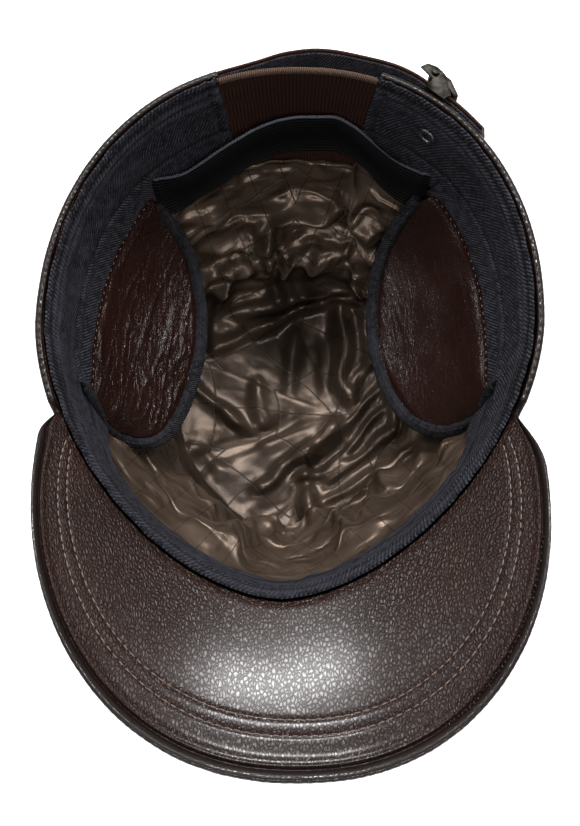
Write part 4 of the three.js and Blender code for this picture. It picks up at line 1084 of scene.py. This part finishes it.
class CAP_OT_peak(bpy.types.Operator):
    """Make the peak: wrapped outer leather with its rolled edge, and stitched leather beneath"""

    bl_idname = "cap.peak"
    bl_label = "Peak"

    def execute(self, context):
        # Share of the width, share of the roll, share of the depth, rise
        ring = soft_ring((
            (1, 0, -1, 0), (0.75, 0.25, -1, 0), (0.5, 0.5, -1, 0), (0.25, 0.75, -1, 0), (0, 1, -1, 0),
            (0, 0.4, -0.95, 0), (0, 0.05, -0.72, 0), (0, -0.04, -0.35, 0), (0, 0.03, 0, 0.25), (0, 0.25, 0, 0.85),
            (0, 0.55, 0, 0.9), (0, 0.85, 0, 0.35), (0, 0.98, 0, -1.1), (0, 1.05, 0, -1.6), (0.5, 0.5, 0, -1.6),
            (1, 0, 0, -1.6),
        ))

        def edge_point(u, section):
            turn = mix(-1.0, 1.0, u)
            width, scale = peak_width(turn), peak_scale(turn)
            roll = ROLL_WIDTH * scale
            arc = turn * 165
            pleats = 0.05 * np.cos(arc * 2 * math.pi / 3.1) + 0.1 * lumps(peak_ends(turn)[1], 5, 12)
            on_roll = np.clip(1 - section[:, 0] * 4, 0, 1)
            pleats = pleats * on_roll * (section[:, 1] < 0.9)
            from_edge = section[:, 0] * (width + 0.2) + section[:, 1] * roll - pleats
            rise = section[:, 2] * peak_depth(turn) + section[:, 3] * scale
            point = peak_point(turn, from_edge, rise)
            return point + UP * (0.18 * lumps(point, 12, 11) * on_roll)[..., None]

        body = loft("peak_leather", 420, ring, edge_point)
        dress(body, crown_leather(), "crown_leather", "peak_body")
        self.under_leather()
        self.stitches()
        return {"FINISHED"}

    def rise(self, turn, from_edge):
        scale = peak_scale(turn)
        inset = from_edge - ROLL_WIDTH * scale
        rise = scale * (0.7 * bell(inset - 2.3, 1.7) - 1.3 * bell(inset, 0.75))
        share = np.clip(from_edge / peak_width(turn), 0, 1)
        rise = rise + 2.2 * np.sin(math.pi * share) * (1 - smooth_step(np.abs(turn), 0.5, 0.9))
        for row in (size_of("outer_row"), size_of("inner_row")):
            rise = rise - 0.32 * bell(from_edge - row, 0.8)
        return rise + 0.12 * bell(from_edge - (size_of("outer_row") + size_of("inner_row")) / 2, 1.6)

    def under_leather(self):
        piece, u, v = new_grid("peak_under_leather", 300, 150)
        turn = mix(-1.0, 1.0, u)
        start = ROLL_WIDTH * peak_scale(turn) - 0.1
        from_edge = mix(start, peak_width(turn) + 0.3, v**1.15)
        flat = peak_point(turn, from_edge, np.zeros(len(u)))
        rise = self.rise(turn, from_edge) + 0.1 * lumps(flat, 40, 21) + 0.02 * lumps(flat, 8, 22)
        rise = rise - 0.5 * bell(peak_width(turn) - from_edge, 1.5)
        lay_sheet(piece, u, v, flat + UP * rise[..., None], (0, -120, 500), 1.1)
        finish = finish_of(
            "under_leather", leather, colours().under, grain=720.0, depth=0.00022, gloss=0.27, specular=0.27,
            coat=1.2, coat_gloss=0.24, stretch=(1.2, 0.7, 1.0), rubbed=(0.016, 0.068),
        )
        dress(piece, finish, "under_leather", "peak_under")

    def stitches(self):
        rows = []
        for from_edge in (size_of("outer_row"), size_of("inner_row")):
            turn = np.linspace(-1, 1, 1500)
            turn = turn[peak_width(turn) > from_edge + 1.5]
            inside = np.full(len(turn), from_edge)
            line = peak_point(turn, inside, self.rise(turn, inside) + 0.12)
            rows.append((line, np.broadcast_to(UP, line.shape)))
        sew("peak_stitches", rows, leather_thread(), "under_leather", size_of("stitch_pitch"), 2.3, 0.24)
        pleats = []
        for turn in np.arange(0.3, 0.76, 0.0085):
            turn = turn + 0.003 * math.sin(turn * 900)
            start = 3.7 + 0.5 * math.sin(turn * 530)
            inside = np.array((start, start + 1.9))
            line = peak_point(np.array((turn, turn + 0.002)), inside, np.array((0.1, -0.3)))
            pleats.append((line, np.broadcast_to(UP, line.shape)))
        sew("peak_pleats", pleats, crown_leather(), "crown_leather", 1.6, 1.9, 0.3)


def band_foot(azimuth):
    """The sweatband's lower edge, deeper at the rear where the elastic covers it, and dropped lower by the flaps'
    front ends as a dark strip that stands in for shadow there.
    """
    away = np.degrees(np.abs(np.mod(azimuth + math.pi / 2, 2 * math.pi) - math.pi))
    rear = BAND_REAR_EXTRA * (1 - smooth_step(away, BAND_REAR_TURN, BAND_REAR_END))
    # The drop by each flap's front end puts dark twill where there is only shadow.
    return BAND_HEIGHT + rear + BAND_SHADOW_DROP * bell(away - BAND_REAR_TURN, 12.0)


def band_azimuth(u, depth):
    start = rear_azimuth(gap_edge(depth), depth)
    end = rear_azimuth(-gap_edge(depth), depth) - 2 * math.pi
    return mix(start, end, u)


class CAP_OT_sweatband(bpy.types.Operator):
    """Make the puffed twill sweatband, its folded ends and its rows of stitches"""

    bl_idname = "cap.sweatband"
    bl_label = "Sweatband"

    def offset(self, depth, from_end, plain, foot):
        first, second, last = BAND_ROWS
        rolls = np.where(depth < first, 0.8, np.where(depth < second, 1.8, np.where(depth < last, 1.7, 0.3)))
        rolls = rolls + 0.3 * lumps(plain, (4, 4, 9), 33) * (depth < last)
        for row in BAND_ROWS:
            rolls = rolls * (1 - 1.1 * bell(depth - row, 1.1))
        rolls = rolls * (1 - 0.8 * bell(from_end - 4.0, 0.9)) - 1.2 * bell(from_end, 0.7)
        creases = 0.6 * lumps(plain, (30, 30, 4), 32) + 0.35 * lumps(plain, (7, 7, 16), 31)
        creases = creases * smooth_step(depth, 3, 10) * (1 - smooth_step(depth, last - 3, last))
        edge = -1.0 * bell(depth + BAND_LIP, 0.9) - 0.9 * bell(depth - foot, 0.7)
        return BAND_INNER + rolls + edge + creases

    def execute(self, context):
        piece, u, v = new_grid("sweatband_twill", 520, 84)
        foot = band_foot(band_azimuth(u, BAND_HEIGHT))
        depth = mix(-BAND_LIP, foot, v)
        azimuth = band_azimuth(u, np.maximum(depth, 0))
        plain = layer(azimuth, depth, BAND_INNER)
        from_end = np.minimum(u, 1 - u) * 500
        points = layer(azimuth, depth, self.offset(depth, from_end, plain, foot))
        lay_sheet(piece, u, v, points, (0, 0, -20), 0.9)
        dress(piece, band_twill(), "black_twill", "sweatband")
        rows = []
        for depth in BAND_ROWS:
            azimuth = band_azimuth(np.linspace(0.012, 0.988, 1400), depth)
            foot = band_foot(azimuth)
            depth = np.full(1400, depth)
            plain = layer(azimuth, depth, BAND_INNER)
            line = layer(azimuth, depth, self.offset(depth, np.full(1400, 99.0), plain, foot) + 0.12)
            rows.append((line, unit(plain - layer(azimuth, depth, 0.0))))
        for share in (0.0085, 0.9915):
            depth = np.linspace(2.5, 40, 60)
            azimuth = band_azimuth(np.full(60, share), depth)
            line = layer(azimuth, depth, BAND_INNER + 0.35)
            rows.append((line, unit(line - layer(azimuth, depth, 0.0))))
        sew("band_stitches", rows, black_thread(), "black_twill", 2.9, 2.2, 0.24)
        return {"FINISHED"}


def lining_top(azimuth):
    corner = float(rear_azimuth(-gap_edge(GAP_DEPTH) - LAYER_GAP * 2, GAP_DEPTH)) - math.pi / 2
    band = float(rear_azimuth(-gap_edge(BAND_HEIGHT) - LAYER_GAP * 4, BAND_HEIGHT)) - math.pi / 2
    away = np.abs(np.mod(azimuth + math.pi / 2, 2 * math.pi) - math.pi)
    share = np.clip((away - corner) / (band - corner), 0, 1)
    return mix(GAP_DEPTH + KNIT_LAP + LAYER_GAP, band_foot(azimuth) + LAYER_GAP, share)


class CAP_OT_lining(bpy.types.Operator):
    """Make the loose quilted satin lining with its folds, and the roll along its rear edge"""

    bl_idname = "cap.lining"
    bl_label = "Lining"

    def folds(self, points):
        """The folds' height at points, whose places in plan are where a look from above puts them on the bottom."""
        total = np.zeros(len(points))
        low = LINING_LEVEL - ABOVE_OPENING[2]
        seen = ABOVE_OPENING + (points - ABOVE_OPENING) * (low / (points[:, 2] - ABOVE_OPENING[2]))[:, None]
        x, y = (seen[:, axis] + 2.2 * lumps(points, 13, 46 + axis) for axis in (0, 1))
        for from_x, from_y, to_x, to_y, behind, before, height in LINING_FOLDS:
            run = np.array((to_x - from_x, to_y - from_y), float)
            length = np.hypot(*run)
            run = run / length
            across = np.array((-run[1], run[0])) * (1 if run[0] >= 0 else -1)
            along = (x - from_x) * run[0] + (y - from_y) * run[1]
            away = (x - from_x) * across[0] + (y - from_y) * across[1]
            away = away + 0.7 * np.sin(along * 0.22 + from_x)
            beyond = along - np.clip(along, 0, length)
            breadth = np.where(away > 0, behind, before)
            total += 0.9 * height * bell(away, breadth * 1.15) * bell(beyond, 5.5)
        return total

    def execute(self, context):
        columns, rows = 312, 124
        piece, u, v = new_grid("satin_lining", columns, rows)
        azimuth = u * 2 * math.pi + math.pi / 6
        top = way_at_depth(azimuth, lining_top(azimuth) - 1.5)
        way = mix(top, 1.0, v)
        plain = crown_face(azimuth, way)
        drift = smooth_step(way, FLAT_WAY, 1.0)
        shift = drift[:, None] * (STAR_ACROSS, -STAR_FORWARD, 0)
        moved = plain + shift
        arc = self.arc_from_centre(way)
        sector = np.floor((azimuth - math.pi / 6) / (math.pi / 3) + 1e-6)
        local = azimuth - math.pi / 3 - sector * math.pi / 3
        across, along = arc * np.sin(local), arc * np.cos(local)
        pitch = size_of("quilt_pitch")
        quilt = sum(bell((np.mod(w / pitch, 1) - 0.5) * pitch, 1.0) for w in (across, along))
        seam = arc * (math.pi / 6 - np.abs(local))
        warp = 5 * np.stack((lumps(moved, 17, 41), lumps(moved, 17, 42), 0 * u), -1)
        warped = moved + warp
        ridged = 1 - 2 * np.abs(lumps(warped, (12, 16, 15), 43))
        soft = lumps(warped, (9, 12, 8), 45)
        fine = 1 - 2 * np.abs(lumps(warped, (5, 6, 6), 44))
        settle = smooth_step(way, top + 0.01, top + 0.1)
        steep = 1 - smooth_step(way, 0.55, 0.69)
        fold = 2.2 + self.folds(moved) * (1 + 0.9 * steep) * size_of("fold_height") + (0.3 + 0.5 * steep) * ridged
        fold = fold + (0.8 + 1.2 * steep) * soft + 0.12 * fine
        fold = np.where(fold < 0.8, 0.8 * np.exp(np.minimum(fold - 0.8, 0)), fold)
        highest = 6.5 + 4 * steep
        fold = np.where(fold > highest, highest + 0.5 * (fold - highest), fold) + 6 * bell(way - 0.56, 0.16)
        fold = fold * settle - 0.08 * quilt * settle - 0.25 * bell(seam, 1.0) * smooth_step(arc, 4, 14) * settle
        base = wall(azimuth, way, BAND_OUTER + 1.0)
        turned = smooth_step(way, 0.5, 0.72)[:, None]
        outward = unit(mix(base - wall(azimuth, way, 0.0), UP, turned))
        lay_grid(piece, u, v, base + outward * np.maximum(fold, -0.6)[:, None] + shift)
        corners = corners_of(piece)
        owner = np.repeat(np.arange(len(piece.data.polygons)), 4)
        middle = np.bincount(owner, azimuth[corners]) / 4
        own_sector = np.floor((middle - math.pi / 6) / (math.pi / 3))[owner]
        own = azimuth[corners] - math.pi / 3 - own_sector * math.pi / 3
        set_uv(piece, arc[corners] * np.sin(own), arc[corners] * np.cos(own))
        edit(piece, merge_points)
        face_toward(piece, (0, 0, 0))
        thicken(piece, 0.5)
        smooth(piece, 80)
        finish = finish_of("satin_lining", satin, colours().satin, pitch)
        dress(piece, finish, "satin_lining", "lining")
        ring = soft_ring(((-1.1, -0.9), (1.1, -0.9), (1.1, 0.9), (-1.1, 0.9)))

        def roll_point(u, section):
            azimuth = mix(math.radians(64), math.radians(116), u)
            depth = lining_top(azimuth) + section[:, 0] - 0.6
            wave = 0.5 * np.sin(u * 19) + 0.4 * np.sin(u * 47)
            return layer(azimuth, depth + wave * 0.5, BAND_OUTER + 2.6 + section[:, 1] + wave * 0.4)

        dress(loft("lining_rear_roll", 120, ring, roll_point), finish, "satin_lining")
        return {"FINISHED"}

    def arc_from_centre(self, way):
        ways = np.linspace(0, 1, 800)
        across = look_up(CROWN, "way", "side", ways) * RIM_HALF_WIDTH
        down = np.minimum(look_up(CROWN, "way", "depth", ways), 1) * (CROWN_DEPTH + RIM_RISE)
        arc = np.concatenate(([0], np.cumsum(np.hypot(np.diff(across), np.diff(down)))))
        return np.interp(way, ways, arc[-1] - arc)


class CAP_OT_flaps(bpy.types.Operator):
    """Make both ear flaps with their bindings, hinge strips and stitches"""

    bl_idname = "cap.flaps"
    bl_label = "Ear flaps"

    def execute(self, context):
        for name, side in (("left", -1), ("right", 1)):
            self.leather(name, side)
            self.binding(name, side)
            self.strip(name, side)
            self.stitches(name, side)
        return {"FINISHED"}

    def wrinkles(self, side, turn, from_hinge, plain):
        """Long thin creases along the leaf, crossed by short ones toward its free edge and front."""
        deep = size_of("flap_wrinkle")
        share = from_hinge / flap_span(side, turn)
        arc = from_hinge + 9 * np.square(turn - 0.45)
        zero = np.zeros(len(turn))
        long = 1 - np.abs(lumps(np.stack((arc, turn * 15, zero), -1), (5.5, 5.5, 9), 51 + side))
        short = 1 - np.abs(lumps(np.stack((arc, turn * 42, zero), -1), (3.4, 3.4, 9), 57 + side))
        cells = 1 - np.abs(lumps(plain, (1.9, 2.6, 2.2), 53 + side))
        crowded = smooth_step(share, 0.4, 0.75) * smooth_step(turn, 0.12, 0.45)
        amount = 1.0 if side < 0 else 0.3
        lines = amount * (0.8 * long**14 + crowded * (0.7 * short**7 + 0.6 * cells**4))
        return deep * (lines + 1.2 * lumps(plain, 15, 55 + side) + 0.3 * lumps(plain, 6, 56 + side))

    def leather(self, name, side):
        piece, u, v = new_grid(f"flap_leather_{name}", 150, 90)
        turn = mix(0.06, 0.968, u)
        start = STRIP_WIDTH - 1.5
        end = flap_span(side, turn) - BINDING_WIDTH * (0.6 + 0.6 * smooth_step(turn, 0.88, 0.968))
        from_hinge = mix(start, end, v)
        plain = flap_point(side, turn, from_hinge, 0.9)
        edge = np.minimum(from_hinge - STRIP_WIDTH, flap_span(side, turn) - BINDING_WIDTH - from_hinge)
        pinch = -0.5 * bell(edge - 0.6, 1.4) * (edge > -1)
        pinch = pinch + self.wrinkles(side, turn, from_hinge, plain) * smooth_step(edge, 0, 4)
        lay_sheet(piece, u, v, flap_point(side, turn, from_hinge, 0.9 + pinch), (0, 0, 200), 2.2)
        creases, gloss = (1.0, 0.16) if side < 0 else (0.4, 0.22)
        finish = finish_of(
            f"flap_leather_{name}", leather, colours().flap, grain=1300.0, depth=0.00014, gloss=gloss, creases=creases
        )
        dress(piece, finish, "flap_leather", f"ear_flap_{name}")

    def binding(self, name, side):
        """The binding follows the free edge and turns in round the front end to the hinge."""
        half = BINDING_WIDTH / 2
        ring = soft_ring((
            (-half, -0.8), (-half * 0.6, -1.8), (half * 0.6, -1.8), (half + 0.1, -0.7),
            (half + 0.1, 0.8), (half * 0.6, 2.0), (-half * 0.6, 2.1), (-half, 1.2),
        ))
        turn = np.concatenate((np.linspace(FLAP_START - 0.02, 0.985, 260), np.full(26, 0.985)))
        inside = flap_span(side, turn) - half
        inside[260:] = np.linspace(inside[260], 0.5, 26)
        line = smooth_line(flap_point(side, turn, inside, 0.0), 9)
        normal = unit(smooth_line(flap_point(side, turn, inside, 1.0), 9) - line)
        piece = sweep(f"flap_binding_cloth_{name}", 300, ring, line, normal)
        dress(piece, binding_twill(), "black_twill", f"flap_binding_{name}")

    def strip(self, name, side):
        piece, u, v = new_grid(f"hinge_strip_{name}", 200, 24)
        turn = mix(FLAP_START - 0.03, 1.0, u)
        from_hinge = mix(-STRIP_LAP, STRIP_WIDTH + 0.2, v)
        rise = 0.75 + 0.6 * np.sin(math.pi * v) - 0.7 * bell(v - 1, 0.06) - 0.9 * bell(v, 0.06)
        plain = flap_point(side, turn, np.maximum(from_hinge, 0), 0.0)
        rise = rise + 0.25 * lumps(plain, (6, 6, 6), 65)
        points = flap_point(side, turn, np.maximum(from_hinge, 0), rise)
        lap = np.maximum(-from_hinge, 0)[..., None]
        points += UP * lap + unit(points * (1, 1, 0)) * 0.09 * lap
        lay_sheet(piece, u, v, points, (0, 0, 200), 1.2)
        dress(piece, black_twill(), "black_twill", f"flap_hinge_strip_{name}")

    def stitches(self, name, side):
        turn = np.linspace(FLAP_START + 0.02, 0.96, 500)
        span = flap_span(side, turn)
        lines = []
        for from_hinge, lift in ((span - BINDING_WIDTH + 0.9, 2.15), (np.full(500, STRIP_WIDTH - 0.7), 1.25)):
            line = flap_point(side, turn, from_hinge, lift)
            lines.append((line, unit(line - flap_point(side, turn, from_hinge, lift - 1))))
        sew(f"flap_binding_stitches_{name}", lines[:1], black_thread(), "black_twill", 2.6, 1.9, 0.2)
        sew(f"flap_hinge_stitches_{name}", lines[1:], leather_thread(), "flap_leather", 3.0, 1.2, 0.13)


class CAP_OT_elastic(bpy.types.Operator):
    """Make the ribbed elastic that joins the flaps behind the head"""

    bl_idname = "cap.elastic"
    bl_label = "Elastic"

    def execute(self, context):
        piece, u, v = new_grid("ribbed_elastic", 150, 72)
        down = v * ELASTIC_WIDTH
        ribs = 0.14 * np.cos(down * 2 * math.pi / 1.65)
        end = np.minimum(u, 1 - u) * 125
        lift = ELASTIC_THICKNESS / 2 + ribs + 0.2 * np.sin(u * 21) * np.sin(down * 0.2) - 0.5 * bell(end - 3.5, 1.0)
        lay_sheet(piece, u, v, elastic_point(u, down, lift), (0, 0, 0), ELASTIC_THICKNESS)
        finish = finish_of("black_elastic", elastic, colours().elastic)
        dress(piece, finish, "black_elastic", "elastic_band")
        return {"FINISHED"}


class CAP_OT_knit(bpy.types.Operator):
    """Make the ribbed knit panel in the rear gap with its overlocked edge"""

    bl_idname = "cap.knit"
    bl_label = "Knit panel"

    def execute(self, context):
        piece, u, v = new_grid("ribbed_knit", 300, 48)
        depth = mix(KNIT_DROP, GAP_DEPTH + KNIT_LAP, v)
        edge = gap_edge(np.minimum(depth, GAP_DEPTH)) + 0.6
        across = mix(edge, -edge, u)
        azimuth = rear_azimuth(across, depth)
        ribs = 0.16 * np.cos(across * 2 * math.pi / 1.45)
        plain = layer(azimuth, depth, BAND_OUTER)
        wave = 0.5 * lumps(plain, (11, 11, 30), 71) * smooth_step(depth, 0, 10)
        offset = BAND_OUTER + KNIT_THICKNESS + ribs + wave - 0.2
        lay_sheet(piece, u, v, layer(azimuth, depth, offset), (0, 0, 0), 1.1)
        finish = finish_of("brown_knit", knit, colours().knit)
        dress(piece, finish, "brown_knit", "knit_panel")
        self.edge_thread()
        return {"FINISHED"}

    def edge_thread(self):
        ring = soft_ring(((-0.27, -0.27), (0.27, -0.27), (0.27, 0.27), (-0.27, 0.27)), 1)
        turns = 74

        def thread_point(u, section):
            edge = gap_edge(KNIT_DROP) - 0.6
            angle = u * turns * 2 * math.pi
            across = mix(edge, -edge, u)
            azimuth = rear_azimuth(across, KNIT_DROP)
            depth = KNIT_DROP + 0.7 - (1.0 + section[:, 0]) * np.cos(angle)
            offset = BAND_OUTER + KNIT_THICKNESS / 2 - 0.2 + (0.95 + section[:, 0]) * np.sin(angle)
            point = layer(azimuth, depth, offset)
            return point + np.stack((section[:, 1], 0 * u, 0 * u), -1)

        finish = finish_of("knit_thread", thread, (0.1, 0.048, 0.026), 0.7)
        dress(loft("knit_edge_thread", 1184, ring, thread_point), finish, "brown_knit")


class CAP_OT_strap(bpy.types.Operator):
    """Make the adjuster strap, its cloth backing and its edge stitches"""

    bl_idname = "cap.strap"
    bl_label = "Adjuster strap"

    def execute(self, context):
        self.bar("strap_leather", 0.0, STRAP_LEATHER + 0.1, 0.0, panel_leather(), "crown_leather", "adjuster_strap")
        inner = STRAP_LEATHER + 0.15
        self.bar("strap_cloth", inner, inner + STRAP_CLOTH + 0.2, 0.6, black_twill(), "black_twill", "strap_backing")
        share = np.linspace(0.02, 0.985, 400)
        rows = []
        for depth in (2.6, STRAP_WIDTH - 2.6):
            line = strap_point(share, np.full(400, depth), 0.0)
            rows.append((line, unit(line - strap_point(share, np.full(400, depth), 1.0))))
        sew("strap_stitches", rows, leather_thread(), "crown_leather", size_of("stitch_pitch"))
        return {"FINISHED"}

    def bar(self, name, outer, inner, inset, finish, slot, node):
        bottom = STRAP_WIDTH - inset
        ring = soft_ring((
            (inset, outer), (inset, inner), (3.0, inner), (6.5, inner), (10, inner), (13.5, inner), (17, inner),
            (bottom, inner), (bottom, outer), (17, outer), (13.5, outer), (10, outer), (6.5, outer), (3.0, outer),
        ))

        def bar_point(u, section):
            depth = section[:, 0]
            end = 1.1 * bell((1 - u) * 90, 3.0) * np.abs(depth / STRAP_WIDTH - 0.5) ** 2 * 4
            ripple = 0.25 * lumps(strap_point(u, depth, 0.0), 10, 81)
            pinch = 0.18 * (bell(depth - 2.6, 0.8) + bell(depth - STRAP_WIDTH + 2.6, 0.8)) * (section[:, 1] < 0.3)
            return strap_point(np.clip(u - end * 0.02, 0, 1), depth, section[:, 1] + ripple + pinch)

        dress(loft(name, 220, ring, bar_point), finish, slot, node)


class CAP_OT_clasp(bpy.types.Operator):
    """Round the clasp's metal parts and the ring eyelet, and give them worn metal"""

    bl_idname = "cap.clasp"
    bl_label = "Clasp and eyelet"

    def execute(self, context):
        metal = finish_of("clasp_metal", worn_metal, colours().metal)
        for node, body in (("clasp_frame", "cap"), ("clasp_lever", "lever"), ("clasp_pin", "cap")):
            self.rounded(node, metal, body)
        self.eyelet()
        return {"FINISHED"}

    def rounded(self, node, metal, body):
        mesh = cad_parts[node].data.copy()
        piece = bpy.data.objects.new(f"{node}_metal", mesh)
        bpy.context.scene.collection.objects.link(piece)
        edit(piece, merge_points, lambda: bpy.ops.mesh.dissolve_limited(angle_limit=math.radians(4)))
        add_modifier(piece, "BEVEL", width=0.18 * MM, segments=2, limit_method="ANGLE", angle_limit=math.radians(38))
        smooth(piece, 40)
        dress(piece, metal, "clasp_metal", node, body=body)

    def eyelet(self):
        turn = math.radians(EYELET_TURN)
        centre = layer(turn, EYELET_DEPTH, BAND_INNER + 2.7)
        out = unit(centre - layer(turn, EYELET_DEPTH, 0.0))
        select_only()
        bpy.ops.mesh.primitive_torus_add(
            major_segments=48, minor_segments=16, major_radius=(EYELET_RADIUS - 0.75) * MM, minor_radius=0.75 * MM
        )
        ring = bpy.context.active_object
        ring.name = ring.data.name = "eyelet_ring"
        self.settle(ring, centre, out, (1, 1, 0.75))
        finish = finish_of("eyelet_metal", worn_metal, (0.4, 0.4, 0.42), 0.3)
        dress(ring, finish, "eyelet_metal", "ring_eyelet")
        select_only()
        bpy.ops.mesh.primitive_circle_add(vertices=32, radius=(EYELET_RADIUS - 0.7) * MM, fill_type="NGON")
        hole = bpy.context.active_object
        hole.name = hole.data.name = "eyelet_hole"
        edit(
            hole,
            lambda: bpy.ops.mesh.inset(thickness=0.5 * MM),
            lambda: bpy.ops.mesh.inset(thickness=0.4 * MM),
            lambda: bpy.ops.transform.translate(value=(0, 0, -0.9 * MM)),
        )
        self.settle(hole, centre - out * 0.15, out, (1, 1, 1))
        thicken(hole, 0.3)
        dress(hole, binding_twill(), "black_twill")

    def settle(self, piece, centre, out, squash):
        turned = Vector(out).to_track_quat("Z", "Y").to_matrix()
        points = points_of(piece) / MM * np.array(squash)
        set_points(piece, points @ np.array(turned).T + centre)
        smooth(piece)


class CAP_OT_studio(bpy.types.Operator):
    """Set the plain pale floor and the soft studio lights"""

    bl_idname = "cap.studio"
    bl_label = "Studio"

    def execute(self, context):
        select_only()
        bpy.ops.mesh.primitive_plane_add(size=FLOOR_SIZE, location=(0, 0, 0))
        floor = bpy.context.active_object
        floor.name = floor.data.name = "floor"
        floor.data.materials.append(plain_floor("pale_floor"))
        for softbox in SOFTBOXES:
            self.add_softbox(*softbox)
        world = bpy.data.worlds.new("studio")
        world.use_nodes = True
        background = world.node_tree.nodes["Background"]
        background.inputs["Color"].default_value = (1, 1, 1, 1)
        background.inputs["Strength"].default_value = WORLD_LIGHT
        context.scene.view_settings.view_transform = "Standard"
        context.scene.world = world
        return {"FINISHED"}

    def add_softbox(self, name, where, aim, size, power):
        data = bpy.data.lights.new(name, "AREA")
        data.shape, data.size, data.size_y, data.energy = "RECTANGLE", size[0], size[1], power
        light = bpy.data.objects.new(name, data)
        bpy.context.scene.collection.objects.link(light)
        light.location = where
        light.rotation_euler = (Vector(aim) - Vector(where)).to_track_quat("-Z", "Y").to_euler()


STEPS = (
    CAP_OT_camera, CAP_OT_crown, CAP_OT_hem, CAP_OT_peak, CAP_OT_sweatband, CAP_OT_lining, CAP_OT_flaps,
    CAP_OT_elastic, CAP_OT_knit, CAP_OT_strap, CAP_OT_clasp, CAP_OT_studio,
)


class CAP_PT_panel(bpy.types.Panel):
    """Lists the cap's sizes, colours and pieces"""

    bl_idname = "CAP_PT_panel"
    bl_label = "Leather Jockey Cap"
    bl_space_type = "VIEW_3D"
    bl_region_type = "UI"
    bl_category = "Cap"

    def draw(self, context):
        for group in (context.scene.cap_sizes, context.scene.cap_colours):
            for name in group.__annotations__:
                self.layout.prop(group, name)
        for step in STEPS:
            self.layout.operator(step.bl_idname)


CLASSES = (CapSizes, CapColours, *STEPS, CAP_PT_panel)


def register():
    for cls in CLASSES:
        bpy.utils.register_class(cls)
    bpy.types.Scene.cap_sizes = bpy.props.PointerProperty(type=CapSizes)
    bpy.types.Scene.cap_colours = bpy.props.PointerProperty(type=CapColours)


def unregister():
    del bpy.types.Scene.cap_colours
    del bpy.types.Scene.cap_sizes
    for cls in reversed(CLASSES):
        bpy.utils.unregister_class(cls)


def main():
    register()
    for step in STEPS:
        group, name = step.bl_idname.split(".")
        getattr(getattr(bpy.ops, group), name)()
    select_only()


if __name__ == "__main__":
    main()
